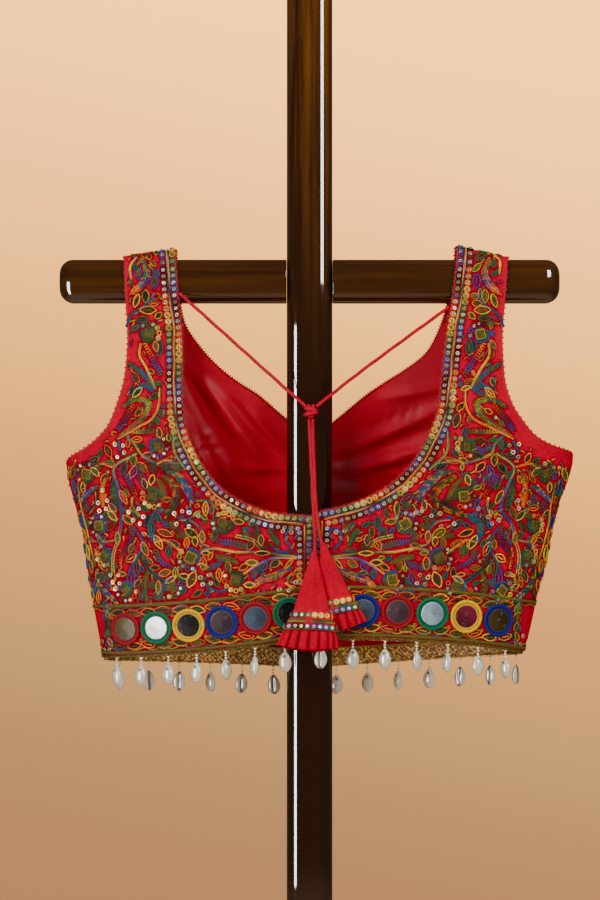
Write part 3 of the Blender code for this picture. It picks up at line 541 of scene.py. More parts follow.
def edge_line(face, side, end, rows, inward=0.0):
    """(across, down) along a panel's inner (0) or outer (2) edge, and a distance in from it."""
    turn, down = section_end(face, side, end, np.asarray(rows, float))
    line = np.stack([across_of(face, side, turn, down), down], axis=1)
    line = even_steps(line, 0.001)
    return line + run_and_out(line)[1] * inward * (1 if end == 0 else -1)


def puckers(across, down):
    """Share, 0 to 1, by which the stitching draws the cloth up or lets it lie."""
    a, d = np.asarray(across) * 1000, np.asarray(down) * 1000
    waves = np.sin(a / 4.1 + 1.7 * np.sin(d / 9.3)) * np.sin(d / 4.9 + 1.3 * np.sin(a / 7.7 + 1))
    waves = waves + 0.8 * np.sin((a + d) / 11.0 + np.sin((a - d) / 8.0))
    return 0.5 + waves / 3.6


# ---------------------------------------------------------------- finishes
class Link:
    """A node's output. Python's operators on it add Math nodes."""

    def __init__(self, tree, socket):
        self.tree, self.socket = tree, socket

    def _math(self, operation, first, second=0.0):
        return self.tree.node("ShaderNodeMath", {"operation": operation}, {0: first, 1: second})

    def __add__(self, other):
        return self._math("ADD", self, other)

    def __sub__(self, other):
        return self._math("SUBTRACT", self, other)

    def __rsub__(self, other):
        return self._math("SUBTRACT", other, self)

    def __mul__(self, other):
        return self._math("MULTIPLY", self, other)

    def sine(self):
        return self._math("SINE", self)

    def clamped(self):
        return self.tree.node("ShaderNodeClamp", {}, {0: self, 1: 0.0, 2: 1.0})


class NodeTree:
    """The nodes of a material or of the world."""

    def __init__(self, tree):
        self.tree = tree

    def feed(self, socket, value):
        if isinstance(value, Link):
            self.tree.links.new(value.socket, socket)
        elif isinstance(value, (tuple, list, np.ndarray)) and socket.type == "RGBA":
            socket.default_value = (*[float(v) for v in value[:3]], 1.0)
        else:
            socket.default_value = value

    def node(self, kind, settings, sockets, output=0):
        """Adds a node with its settings, then its sockets' values or links, and gives an output."""
        made = self.tree.nodes.new(kind)
        for name, value in settings.items():
            setattr(made, name, value)
        for key, value in sockets.items():
            self.feed(made.inputs[key], value)
        return Link(self, made.outputs[output])


class Finish(NodeTree):
    """A material and its nodes."""

    def __init__(self, name, **constants):
        self.material = bpy.data.materials.new(name)
        self.material.use_nodes = True
        super().__init__(self.material.node_tree)
        self.shader = self.tree.nodes["Principled BSDF"]
        for socket, value in constants.items():
            self.set(socket.replace("_", " "), value)

    def set(self, name, value):
        """Gives one of the shader's own sockets a constant or a link."""
        self.feed(self.shader.inputs[name], value)

    def place(self):
        """Where a point of the piece is, in metres."""
        return self.node("ShaderNodeTexCoord", {}, {}, "Object")

    def along(self, axis):
        """Where a point of the piece is along x (0), y (1) or z (2)."""
        return self.node("ShaderNodeSeparateXYZ", {}, {0: self.place()}, axis)

    def stretched(self, scale):
        return self.node("ShaderNodeVectorMath", {"operation": "MULTIPLY"}, {0: self.place(), 1: scale})

    def noise(self, scale, detail=2.0, vector=None, roughness=0.5):
        sockets = {"Scale": scale, "Detail": detail, "Roughness": roughness}
        sockets["Vector"] = self.place() if vector is None else vector
        return self.node("ShaderNodeTexNoise", {}, sockets)

    def mix(self, factor, first, second):
        return self.node("ShaderNodeMix", {"data_type": "RGBA"}, {0: factor, 6: first, 7: second}, 2)

    def bump(self, height, distance, strength=1.0):
        sockets = {"Strength": strength, "Distance": distance, "Height": height}
        self.set("Normal", self.node("ShaderNodeBump", {}, sockets))

    def attribute(self, name, output="Color"):
        return self.node("ShaderNodeAttribute", {"attribute_name": name}, {}, output)


def shades_of(colour, dark, light):
    """A darker and a lighter shade of one colour."""
    return np.array(colour) * dark, np.minimum(np.array(colour) * light, 1.0)


def cloth_finish(name, colour, rough=0.82, sheen=0.01):
    """Close-woven cotton silk: a fine weave, faint slubs, a soft sheen and painted shade where stitches lie
    close.
    """
    finish = Finish(name, Roughness=rough, Sheen_Weight=sheen, Sheen_Roughness=0.4, Specular_IOR_Level=0.01)
    finish.set("Sheen Tint", (1.0, 0.06, 0.08, 1.0))
    slubs = finish.noise(260.0, 2.0, finish.stretched((1.0, 1.0, 3.0)))
    patches = finish.noise(38.0, 2.0)
    # The point attribute read here darkens the ground where threads lie close round it, and in the hollows of
    # the ruffle's pleats: painted shade. The slubs and patches are the cloth's own tone.
    tone = (slubs * 0.5 + patches * 0.5 - finish.attribute("stitched", "Fac") * 0.75).clamped()
    finish.set("Base Color", finish.mix(tone, *shades_of(colour, 0.42, 1.45)))
    x, y, z = (finish.along(axis) for axis in range(3))
    weave = ((x + y) * 5200.0).sine() * (z * 5200.0).sine()
    finish.bump(weave * 0.35 + slubs, 0.00025, 0.5)
    return finish.material


def satin_finish(colour):
    """Smooth satin with long soft creases, painted darker in their hollows and lighter on their ridges."""
    finish = Finish("satin", Roughness=0.48, Specular_IOR_Level=0.12)
    creases = finish.noise(26.0, 3.0, finish.stretched((1.0, 1.0, 0.55)))
    # The colour follows the creases' height, as the bump does: painted shade in the hollows, painted
    # highlight on the ridges.
    finish.set("Base Color", finish.mix(creases, *shades_of(colour, 0.72, 1.2)))
    finish.bump(creases + finish.noise(900.0, 1.0) * 0.03, 0.004, 0.4)
    return finish.material


def thread_finish():
    """Twisted embroidery thread: each vertex has its own colour."""
    finish = Finish("embroidery_thread", Roughness=0.55, Specular_IOR_Level=0.07)
    twist = finish.noise(1500.0, 1.0)
    base = finish.attribute("thread")
    finish.set("Base Color", finish.mix(((twist - 0.25) * 0.7).clamped(), base, (0.0, 0.0, 0.0)))
    finish.bump(twist, 0.0002, 0.6)
    return finish.material


def sequin_finish():
    """Pale gold foil, bright at its rim and painted darker inwards: painted shade in the dip and the hole."""
    finish = Finish("sequin_foil", Metallic=0.30, Roughness=0.28, Specular_IOR_Level=0.2)
    finish.set("Base Color", finish.attribute("tint"))
    return finish.material


def rim_finish(name, shade):
    """A rope wrapped closely in cotton thread, painted darker between the wraps and lighter on them."""
    finish = Finish(name, Roughness=0.55, Specular_IOR_Level=0.07)
    wraps = finish.attribute("wrap", "Fac")
    ridges = wraps.sine() * 0.5 + 0.5
    # Colour follows the wraps' ridges, as the bump does: painted shade in the grooves, painted highlight on
    # the ridges.
    finish.set("Base Color", finish.mix(ridges, *shades_of(shade, 0.30, 1.20)))
    finish.bump(ridges, 0.0004, 0.7)
    return finish.material


def glass_finish():
    """Old hand-cut mirror glass: each disc has its own tone, which is a painted reflection, and cloudy
    silvering.
    """
    finish = Finish("mirror_glass", Metallic=0.05, Specular_IOR_Level=0.06)
    # The tint attribute holds each disc's painted reflection, with its painted highlight at the edge.
    tone = finish.attribute("tint")
    clouds = finish.noise(260.0, 5.0, None, 0.65)
    marks = ((clouds - 0.50) * 5.0).clamped()
    light = finish.mix(((clouds - 0.58) * 8.0).clamped() * 0.22, tone, (0.55, 0.62, 0.66))
    finish.set("Base Color", finish.mix(marks * 0.5, light, (0.0, 0.0, 0.0)))
    finish.set("Roughness", clouds * 0.25 + 0.10)
    finish.bump(finish.noise(90.0, 2.0), 0.0010, 0.30)
    return finish.material


def lace_finish():
    """Gold zari: bright gold spots over a brown ground, the metal thread's colour with painted glints."""
    finish = Finish("zari_lace", Metallic=0.1, Roughness=0.45, Specular_IOR_Level=0.15)
    x, y, z = (finish.along(axis) for axis in range(3))
    bars = ((x + y * 0.6) * 1250.0).sine() * ((z + x * 0.2) * 1400.0).sine()
    # Bright gold where this is high: the zari's own colour, and painted glints of its metal.
    gold_and_glints = ((finish.noise(560.0, 3.0) - 0.5) * 5.0 + bars * 0.45 + 0.26).clamped()
    finish.set("Base Color", finish.mix(gold_and_glints, (0.190, 0.075, 0.018), (0.88, 0.54, 0.13)))
    finish.bump(gold_and_glints, 0.0005, 0.7)
    return finish.material


def gold_finish():
    """Gold thread, in small glints: a noise mixes dark and bright gold, the thread's colour with painted
    glints.
    """
    finish = Finish("gold_thread", Metallic=0.35, Roughness=0.40, Specular_IOR_Level=0.2)
    finish.set("Base Color", finish.mix(finish.noise(1400.0), (0.16, 0.080, 0.014), (0.66, 0.38, 0.08)))
    return finish.material


def shell_finish():
    """Polished cowrie."""
    finish = Finish("cowrie_shell", Roughness=0.22, Coat_Roughness=0.08, Subsurface_Weight=0.05)
    finish.set("Coat Weight", 0.5)
    tint = finish.attribute("tint")
    finish.set("Base Color", finish.mix(finish.noise(500.0, 3.0) * 0.15, tint, (0.52, 0.42, 0.30)))
    return finish.material


def pearl_finish():
    """Small pearl beads."""
    finish = Finish("pearl_beads", Roughness=0.2, Coat_Roughness=0.1, Sheen_Weight=0.2)
    finish.set("Coat Weight", 0.6)
    finish.set("Base Color", finish.mix(finish.noise(300.0), (0.72, 0.62, 0.46), (0.90, 0.86, 0.76)))
    return finish.material


def cord_finish(colour):
    """Cord of twisted red silk."""
    finish = Finish("silk_cord", Roughness=0.5, Specular_IOR_Level=0.05)
    strands = finish.noise(900.0, 2.0)
    finish.set("Base Color", finish.mix(strands, *shades_of(colour, 0.65, 1.15)))
    finish.bump(strands, 0.0003, 0.6)
    return finish.material


def wood_finish(name, colour, along):
    """Dark hardwood under a thick gloss lacquer, its grain along one axis, with painted light on its upper
    part.
    """
    finish = Finish(name, Roughness=0.5, Specular_IOR_Level=0.0, Coat_Weight=1.0, Coat_Roughness=0.03)
    finish.set("Coat IOR", 1.6)
    scale = [150.0, 150.0, 150.0]
    scale[along] = 5.0
    grain = finish.noise(1.0, 4.0, finish.stretched(scale), 0.6)
    broad = finish.noise(0.22, 2.0, finish.stretched(scale))
    streaks = ((grain * 0.8 + broad * 0.8 - 0.62) * 2.6).clamped()
    height = finish.along(2)
    # The grain's streaks show only above about 0.66 m and grow stronger upwards: painted light on the upper
    # post, over real grain.
    grain_and_painted_light = streaks * (height * 3.0 - 1.98).clamped()
    finish.set("Base Color", finish.mix(grain_and_painted_light, colour, (0.155, 0.0500, 0.0060)))
    finish.bump(finish.noise(55.0, 2.0) + grain * 0.08, 0.0012, 0.30)
    return finish.material


FINISHES = {}


def finish_named(name):
    """One material by name, made when it is first asked for."""
    if name not in FINISHES:
        colours = bpy.context.scene.choli_colours
        makers = {
            "cloth": lambda: cloth_finish("embroidered_ground", tuple(colours.cloth)),
            "felt": lambda: cloth_finish("tassel_felt", tuple(colours.cord), 0.9, 0.06),
            "satin": lambda: satin_finish(tuple(colours.satin)),
            "thread": thread_finish,
            "sequin": sequin_finish,
            "glass": glass_finish,
            "lace": lace_finish,
            "gold": gold_finish,
            "shell": shell_finish,
            "pearl": pearl_finish,
            "cord": lambda: cord_finish(tuple(colours.cord)),
            "rim_red": lambda: rim_finish("rim_red", (0.330, 0.0010, 0.010)),
            "rim_green": lambda: rim_finish("rim_green", (0.002, 0.150, 0.060)),
            "rim_yellow": lambda: rim_finish("rim_yellow", (0.900, 0.480, 0.001)),
            "rim_blue": lambda: rim_finish("rim_blue", (0.008, 0.014, 0.190)),
            "wood_upright": lambda: wood_finish("stand_wood_upright", tuple(colours.wood), 2),
            "wood_level": lambda: wood_finish("stand_wood_level", tuple(colours.wood), 0),
        }
        FINISHES[name] = makers[name]()
    return FINISHES[name]


# ---------------------------------------------------------------- meshes
class Work:
    """Points, faces and point colours gathered for one mesh."""

    def __init__(self):
        self.points, self.faces, self.colours, self.marks = [], [], [], []
        self.count = 0

    def add(self, points, faces, colour=None, mark=None):
        points = np.asarray(points, float).reshape(-1, 3)
        self.points.append(points)
        self.faces += [tuple(int(i) + self.count for i in face) for face in faces]
        if colour is not None:
            self.colours.append(np.broadcast_to(np.asarray(colour, float), (len(points), 3)))
        if mark is not None:
            self.marks.append(np.broadcast_to(np.asarray(mark, float), (len(points),)))
        self.count += len(points)

    def grid(self, points, closed_rows=False, closed_columns=False, colour=None, mark=None, flip=False):
        """A sheet of quads over rows of points, closed on itself where asked."""
        points = np.asarray(points, float)
        rows, columns = points.shape[:2]
        r = np.arange(rows if closed_rows else rows - 1)
        c = np.arange(columns if closed_columns else columns - 1)
        r, c = (g.ravel() for g in np.meshgrid(r, c, indexing="ij"))
        below, after = (r + 1) % rows, (c + 1) % columns
        upper, lower = r * columns, below * columns
        faces = np.stack([upper + c, upper + after, lower + after, lower + c], 1)
        if flip:
            faces = faces[:, ::-1]
        self.add(points, faces.tolist(), colour, mark)

    def caps(self, rows, columns, flip=False):
        """Closes both ends of the tube of rows and columns that was added last."""
        first, last = self.count - rows * columns, self.count - columns
        ends = [tuple(range(first, first + columns))[::-1], tuple(range(last, self.count))]
        self.faces += [end[::-1] for end in ends] if flip else ends

    def object(self, name, finish, smooth=True):
        """The mesh as a piece of the scene that rides on the part's one body."""
        mesh = bpy.data.meshes.new(name)
        mesh.from_pydata(np.vstack(self.points).tolist(), [], self.faces)
        mesh.materials.append(finish_named(finish))
        if self.colours:
            shades = mesh.attributes.new("thread" if finish == "thread" else "tint", "FLOAT_COLOR", "POINT")
            flat = np.vstack(self.colours)
            shades.data.foreach_set("color", np.hstack([flat, np.ones((len(flat), 1))]).ravel())
        if self.marks:
            marks = mesh.attributes.new("wrap", "FLOAT", "POINT")
            marks.data.foreach_set("value", np.concatenate(self.marks))
        if smooth:
            mesh.shade_smooth()
        made = bpy.data.objects.new(name, mesh)
        bpy.context.scene.collection.objects.link(made)
        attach(made, "root")
        return made


def tube_frames(line, closed=False):
    """Two directions square to a line at each of its points, turning as little as they can."""
    run = np.roll(line, -1, 0) - np.roll(line, 1, 0) if closed else np.gradient(line, axis=0)
    run = unit(run)
    side = np.cross(run[0], (0.0, 1.0, 0.0) if abs(run[0][1]) < 0.9 else (0.0, 0.0, 1.0))
    sides = []
    for way in run:
        side = unit(side - way * np.dot(side, way))
        sides.append(side)
    sides = np.array(sides)
    return sides, np.cross(run, sides)


def tube(work, line, radius, segments, colour=None):
    """A closed round tube along a line, its radius the same or given for each point."""
    line = np.asarray(line, float)
    a, b = tube_frames(line)
    turn = np.linspace(0, math.tau, segments, endpoint=False)
    radius = np.broadcast_to(radius, (len(line),))[:, None, None]
    ring = np.cos(turn)[None, :, None] * a[:, None] + np.sin(turn)[None, :, None] * b[:, None]
    points = line[:, None] + ring * radius
    shade = None if colour is None else np.repeat(np.broadcast_to(colour, (len(line), 3)), segments, axis=0)
    work.grid(points, closed_columns=True, colour=shade)
    work.caps(len(line), segments)


def ball(work, centre, radii, segments=8, rings=6, colour=None):
    """A round bead or drop with its poles up and down."""
    lat = np.linspace(-math.pi / 2, math.pi / 2, rings + 1)[1:-1]
    lon = np.linspace(0, math.tau, segments, endpoint=False)
    body = np.stack([
        np.cos(lat)[:, None] * np.cos(lon), np.cos(lat)[:, None] * np.sin(lon),
        np.broadcast_to(np.sin(lat)[:, None], (len(lat), segments)),
    ], axis=-1) * np.asarray(radii) + np.asarray(centre)
    start = work.count
    work.grid(body, closed_columns=True, colour=colour)
    poles = np.array([[0, 0, -1.0], [0, 0, 1.0]]) * np.asarray(radii) + np.asarray(centre)
    work.add(poles, [], colour)
    low, high = work.count - 2, work.count - 1
    top = start + (len(lat) - 1) * segments
    for k in range(segments):
        after = (k + 1) % segments
        work.faces.append((start + after, start + k, low))
        work.faces.append((top + k, top + after, high))


SEQUIN_POINTS = 12
# share of the foil's colour on each ring of a sequin: the dip round the hole and the hole itself are painted
# dark as shade
SEQUIN_PAINTED_SHADE = (1.0, 1.0, 0.8, 0.10, 0.05, 1.0)
# reach and height of each ring of points, as shares of the radius
LOOSE_SEQUIN = ((1.0, 0.14), (0.84, 0.42), (0.50, 0.07), (0.34, 0.14), (0.32, 0.0), (1.0, 0.0))
TASSEL_SEQUIN = ((1.0, 0.1), (0.86, 0.30), (0.45, 0.08), (0.24, 0.15), (0.24, 0.0), (1.0, 0.0))
SILVER_FOIL, GOLD_FOIL, TASSEL_FOIL = (0.42, 0.35, 0.25), (0.40, 0.24, 0.09), (0.64, 0.46, 0.26)


def pierced_cup(work, centre, axis, beside, radius, profile, pale):
    """One sequin: rings of points about an axis. The profile gives each ring's reach and height."""
    u = unit(np.cross(axis, beside))
    turn = np.linspace(0, math.tau, SEQUIN_POINTS, endpoint=False)
    flat = np.outer(np.cos(turn), u) + np.outer(np.sin(turn), np.cross(axis, u))
    rings = np.array([centre + radius * (reach * flat + height * axis) for reach, height in profile])
    # Each ring takes the foil's colour times its share: the hole's rings are painted dark as shade.
    shades = np.repeat([pale * share for share in SEQUIN_PAINTED_SHADE], SEQUIN_POINTS, axis=0)
    work.grid(rings, closed_rows=True, closed_columns=True, colour=shades, flip=True)


# ---------------------------------------------------------------- thread work on a panel
def blended(names, count):
    """Colours that run evenly through some threads' shades."""
    if isinstance(names, str):
        names = (names,)
    shades = np.array([THREADS[n] for n in names])
    if len(shades) == 1:
        return np.repeat(shades, count, axis=0)
    at = np.linspace(0, len(shades) - 1, count)
    return np.stack([np.interp(at, np.arange(len(shades)), shades[:, k]) for k in range(3)], axis=1)


class Stitcher:
    """Draws chain-stitched threads and sequins over one panel, in metres across and down it."""

    def __init__(self, face, side, seed):
        self.face, self.side = face, side
        self.map = MAPS[face, side]
        self.sizes = bpy.context.scene.choli_sizes
        self.chance = np.random.default_rng(seed)
        self.lines, self.sequins, self.ways = [], [], []
        self.used, self.off = (np.zeros((CELL_ROWS, CELL_COLUMNS), bool) for _ in range(2))
        self.step = STITCH_STEP[face]

    # -- places
    def pick(self, names):
        """One of some names, by chance."""
        return names[int(self.chance.integers(len(names)))]

    def cells(self, points):
        """Row and column of the cells in which points lie."""
        i = np.clip(((points[:, 1] + CELLS_ABOVE) / CELL).astype(int), 1, CELL_ROWS - 2)
        j = np.clip((points[:, 0] / CELL).astype(int), 1, CELL_COLUMNS - 2)
        return i, j

    def mark(self, points):
        """Notes the cells round some points as used."""
        for shift in ((-0.0005, -0.0005), (0.0005, -0.0005), (-0.0005, 0.0005), (0.0005, 0.0005)):
            self.used[self.cells(np.asarray(points) + shift)] = True

    def is_free(self, points, crossing=0.0):
        """Whether points lie on the panel, at most a share of them on work that is there already."""
        i, j = self.cells(np.asarray(points))
        return not self.off[i, j].any() and self.used[i, j].mean() <= crossing

    # -- strokes
    def thread(self, points, colours, width=1.0, height=0.0, closed=False, step=None):
        """One thread along some points. Its colours run from one shade to the next."""
        points = np.asarray(points, float)
        if closed:
            points = np.vstack([points, points[:1]])
        line = even_steps(points, step or self.step)
        if closed:
            line = line[:-1]
        self.mark(line)
        self.lines.append((line, blended(colours, len(line)), width, height, closed))

    def sequin(self, at, size=1.0, height=0.0):
        """One loose sequin."""
        self.sequins.append((float(at[0]), float(at[1]), size, height))
        self.mark(np.array(at) + 0.0012 * np.array([[0, 0], [1, 0], [-1, 0], [0, 1], [0, -1]]))

    def ring(self, at, radius, shade, sequin=True, width=1.0):
        """A ring of thread, with a sequin in it."""
        turn = np.linspace(0, math.tau, 12, endpoint=False)
        self.thread(np.array(at) + radius * circle(turn), shade, width, closed=True)
        if sequin:
            self.sequin(at, radius * 0.70 / self.sizes.sequin_radius, 0.0003)

    def turned(self, at, angle, points):
        """Points of a motif, turned by an angle and moved to their place."""
        c, s = math.cos(angle), math.sin(angle)
        x, y = np.asarray(points, float).T
        return np.asarray(at) + np.stack([x * c - y * s, x * s + y * c], 1)

    # -- motifs
    def leaf_outline(self, length, width, count=18):
        """Points round a leaf that starts at the origin."""
        u = np.linspace(0, math.tau, count, endpoint=False)
        s = (1 - np.cos(u)) / 2
        half = width / 2 * np.sin(math.pi * s) ** 0.85 * (1.12 - 0.24 * s)
        return np.stack([s * length, np.sign(np.sin(u)) * half], 1)

    def leaf(self, at, angle, length=0.012, width=0.0058, rim=None, fill=None):
        """A pointed leaf: a light outline round rows of darker stitches."""
        rim = rim or self.pick(RIM_THREADS)
        fill = fill or self.pick(FILL_THREADS)
        outline = self.leaf_outline(length, width)
        if self.off[self.cells(self.turned(at, angle, outline))].mean() > 0.12:
            return
        centre = np.array([length * 0.5, 0.0])
        second = rim if self.chance.uniform() < 0.6 else self.pick(RIM_THREADS)
        self.thread(self.turned(at, angle, outline), (rim, second), 1.0, 0.0002, closed=True)
        hollow = self.chance.uniform() < 0.22
        if not hollow:
            inner = centre + (outline - centre) * (0.60, 0.50)
            self.thread(self.turned(at, angle, inner), fill, 1.05, closed=True)
        spine = np.array([[length * 0.22, 0], [length * 0.74, 0]])
        self.thread(self.turned(at, angle, spine), rim if hollow else self.pick(FILL_THREADS), 1.0)

    def leaf_fits(self, at, angle, length, width, crossing=0.0):
        """Whether a leaf has room."""
        outline = self.leaf_outline(length, width + 0.0004, 14)
        middle = np.stack([np.linspace(0.25, 1.0, 6) * length, np.zeros(6)], 1)
        return self.is_free(self.turned(at, angle, np.vstack([outline, middle])), crossing)

    def stem(self, points, colours, threads=2, wave=0.0):
        """A stem of several threads side by side."""
        line = curve_through(points, 0.001)
        run, out = run_and_out(line)
        for k in range(threads):
            offset = (k - (threads - 1) / 2) * 0.00105
            shades = colours if k % 2 == 0 else tuple(reversed(colours))
            self.thread(line + out * offset, shades, 1.0)
        self.ways.append(np.hstack([line, np.arctan2(run[:, 1], run[:, 0])[:, None]]))
        return line, run

    def spray(self, points, colours, leaf_length=0.0115, pitch=0.0085, threads=2):
        """A stem with leaves set along both sides of it where there is room."""
        line, run = self.stem(points, colours, threads)
        step = max(1, int(pitch / 2 / 0.001))
        side = 1
        for k in range(step, len(line) - 2, step):
            side = -side
            angle = math.atan2(run[k][1], run[k][0]) + side * self.chance.uniform(0.55, 0.95)
            length = leaf_length * self.chance.uniform(0.78, 1.12)
            width = length * self.chance.uniform(0.42, 0.55)
            start = line[k] + 0.0022 * heading(angle)
            if self.leaf_fits(start, angle, length, width, 0.10):
                self.leaf(start - 0.0008 * heading(angle), angle, length, width)

    def feather(self, points, width, shades, tip="yellow"):
        """A long curved leaf: close narrow loops that slant out from a stem on both sides."""
        line, run = self.stem(points, (shades[0], shades[-1]), 1)
        pitch = 2 if self.face == "back" else 3
        for k in range(1, len(line) - 1, pitch):
            share = k / len(line)
            swell = math.sin(math.pi * (0.08 + 0.84 * share)) ** 0.65
            angle = math.atan2(run[k][1], run[k][0])
            shade = shades[min(int(share * len(shades)), len(shades) - 1)]
            for side in (-1, 1):
                way = angle + side * self.chance.uniform(0.60, 0.80)
                colours = (shade, tip if self.chance.uniform() < 0.35 else self.pick(shades))
                loop = self.leaf_outline(max(width * 0.66 * swell, 0.002), 0.0017, 9)
                self.thread(self.turned(line[k], way, loop), colours, 0.85, 0.0001, closed=True)
        end = line[-1] + 0.0030 * run[-1]
        self.thread([line[-1], end], tip, 0.9)

    def coil(self, points, start_width, end_width, shades, pitch=0.0025):
        """A spring of open loops worked along a curve."""
        line = curve_through(points, 0.0005)
        run, out = run_and_out(line)
        along = np.linspace(0, 1, len(line))
        phase = along * 0.0005 * (len(line) - 1) / pitch * math.tau
        width = (start_width + (end_width - start_width) * along) / 2
        width *= 0.75 + 0.25 * np.sin(math.pi * along)
        loops = line + out * (width * np.sin(phase))[:, None] + run * (pitch * 0.42 * np.cos(phase))[:, None]
        self.thread(loops, shades, 0.80, 0.0001, step=0.0009)
        self.mark(line)

    def flower(self, at, facing, size=1.0):
        """An olive square in thick arcs, with ringed sequins along the side that it faces."""
        at = np.asarray(at, float)
        half = 0.0034 * size
        tilt = facing + 0.5
        for k in range(6):
            y = (k - 2.5) * half * 0.38
            stitch = self.turned(at, tilt, [[-half, y], [half, y]])
            self.thread(stitch, "olive" if k % 2 else "khaki", 1.15, 0.0003)
        square = self.turned(at, tilt, half * 1.12 * np.array([[-1, -1], [1, -1], [1, 1], [-1, 1]]))
        self.thread(square, self.pick(("lime", "pine", "green")), 0.85, 0.0002, closed=True)
        choices = ("green", "pine", "teal"), ("blue", "green", "pine"), RIM_THREADS
        arcs = [self.pick(names) for names in choices]
        for radius, first, last, names in (
            (0.0056, 1.5, 4.7, (arcs[0], arcs[0])), (0.0066, 1.7, 4.6, (arcs[0], arcs[1])),
            (0.0077, 1.9, 4.4, (arcs[1], arcs[1])), (0.0054, -0.9, 1.1, (arcs[2], arcs[0])),
        ):
            turn = facing + np.linspace(first, last, 14)
            wave = radius * size + 0.0004 * np.sin(np.arange(14) * 2.4 + radius * 3000)
            self.thread(at + wave[:, None] * circle(turn), names, 0.85)
        count = int(self.chance.integers(5, 8))
        colour = int(self.chance.integers(len(RING_CYCLE)))
        for k in range(count):
            turn = facing + (k - (count - 1) / 2) * 0.52 / size
            place = at + 0.0090 * size * heading(turn)
            self.ring(place, 0.0019, RING_CYCLE[(colour + k) % len(RING_CYCLE)], k % 3 != 1, 1.0)
        for side in (-1, 1):
            angle = facing + side * 1.75
            start = at + 0.0080 * size * heading(angle)
            self.leaf(start, angle + side * 0.5, 0.0100, 0.0048)

    def sequin_spray(self, points, colours, spots):
        """A bare curved stem with loose sequins beside it."""
        self.stem(points, colours, 2)
        for k, spot in enumerate(spots):
            self.sequin(spot, 1.12 if k % 2 else 1.25, 0.0002)

    def fern(self, points, colours, reach=0.0042):
        """A stem with short slanting stitches close along both sides."""
        line, run = self.stem(points, colours, 1)
        for k in range(1, len(line) - 1, 2):
            angle = math.atan2(run[k][1], run[k][0])
            taper = math.sin(math.pi * (0.1 + 0.85 * k / len(line))) ** 0.5
            for side in (-1, 1):
                way = angle + side * 0.75
                tip = line[k] + reach * taper * heading(way)
                self.thread([line[k], tip], (colours[0], colours[-1]), 0.95)

    # -- making the meshes
    def ground_height(self, across, down):
        """Height of the puckered cloth over the panel's plain surface."""
        return puckers(across, down) * self.sizes.pucker

    def threads_object(self, name):
        """All the threads as closed three-sided tubes in one mesh."""
        radius = self.sizes.thread_radius
        line = np.vstack([entry[0] for entry in self.lines])
        ground = self.ground_height(line[:, 0], line[:, 1])
        base, normal = self.map.points(line[:, 0], line[:, 1]), self.map.normals(line[:, 0], line[:, 1])
        base = base + normal * (ground + 0.00005)[:, None]
        work, start = Work(), 0
        points, colours, faces = [], [], []
        for places, shades, width, height, closed in self.lines:
            count = len(places)
            p, n = base[start:start + count], normal[start:start + count]
            start += count
            run = np.roll(p, -1, 0) - np.roll(p, 1, 0) if closed else np.gradient(p, axis=0)
            side = np.cross(run, n)
            side /= np.maximum(np.linalg.norm(side, axis=1), 1e-9)[:, None]
            swell = radius * width * (1 + 0.16 * (np.arange(count) % 2 * 2 - 1))
            foot = p + n * height
            ring = np.stack([
                foot - side * swell[:, None],
                foot + n * (1.35 * swell)[:, None],
                foot + side * swell[:, None],
            ], axis=1)
            first = work.count
            k = np.arange(count if closed else count - 1)
            after = (k + 1) % count
            for a, b in ((0, 1), (1, 2), (2, 0)):
                quads = np.stack([k * 3 + a, k * 3 + b, after * 3 + b, after * 3 + a], 1) + first
                faces += quads.tolist()
            if not closed:
                end = first + (count - 1) * 3
                faces += [[first + 2, first + 1, first], [end, end + 1, end + 2]]
            points.append(ring.reshape(-1, 3))
            tone = 1 + 0.16 * self.chance.standard_normal(count)[:, None]
            colours.append(np.repeat(np.clip(shades * np.clip(tone, 0.6, 1.35), 0, 1), 3, axis=0))
            work.count += count * 3
        work.points, work.colours, work.faces = points, colours, faces
        return work.object(name, "thread")

    def sequins_object(self, name):
        """All the sequins as small pierced cups, each tilted its own way."""
        work = Work()
        for across, down, size, height in self.sequins:
            normal = self.map.normals(across, down)
            axis = unit(normal + self.chance.uniform(-0.22, 0.22, 3))
            lift = self.ground_height(across, down) + 0.0006 + height
            centre = self.map.points(across, down) + normal * lift
            tone = self.chance.uniform(0.45, 1.15)
            pale = np.array(SILVER_FOIL if self.chance.uniform() < 0.4 else GOLD_FOIL) * tone
            pierced_cup(work, centre, axis, (0, 0, 1), self.sizes.sequin_radius * size, LOOSE_SEQUIN, pale)
        return work.object(name, "sequin")


# ---------------------------------------------------------------- the pattern on the back
# Places are millimetres from the centre seam, as seen, and down from the stand's arms.
# x, down, way that the rings face in degrees from outward to downward, size
BACK_FLOWERS = (
    (198, 169, -40, 1.00), (139, 188, 55, 1.05), (187, 214, -20, 0.95), (182, 240, 25, 0.95),
    (162, 270, 100, 1.00), (123, 266, 140, 1.00), (106, 241, 35, 1.10), (77, 212, -60, 1.05),
    (67, 260, 50, 1.05), (143, 47, -130, 1.00), (135, 145, 150, 0.95),
)
# points along it, start width, end width, shades
BACK_COILS = (
    (((56, 232), (70, 228), (83, 226), (90, 219)), 7.0, 4.0,
     ("teal", "green", "teal", "blue", "brown", "rust")),
    (((163, 169), (158, 179), (154, 188)), 7.0, 5.0, ("purple", "blue", "purple", "brick", "rust")),
    (((158, 214), (158, 227), (167, 240), (167, 252)), 7.0, 2.5,
     ("green", "purple", "navy", "brown", "orange")),
    (((137, 234), (132, 245), (116, 252)), 6.0, 3.5, ("green", "teal", "blue", "purple", "brick")),
    (((133, 131), (147, 132), (162, 132)), 5.0, 3.0, ("navy", "olive", "green", "lime", "orange")),
    (((147, 55), (140, 68), (132, 83)), 4.0, 7.0, ("orange", "rust", "purple", "blue", "olive")),
    (((156, 108), (163, 120), (170, 131)), 5.0, 6.0, ("rust", "brown", "navy", "blue")),
)
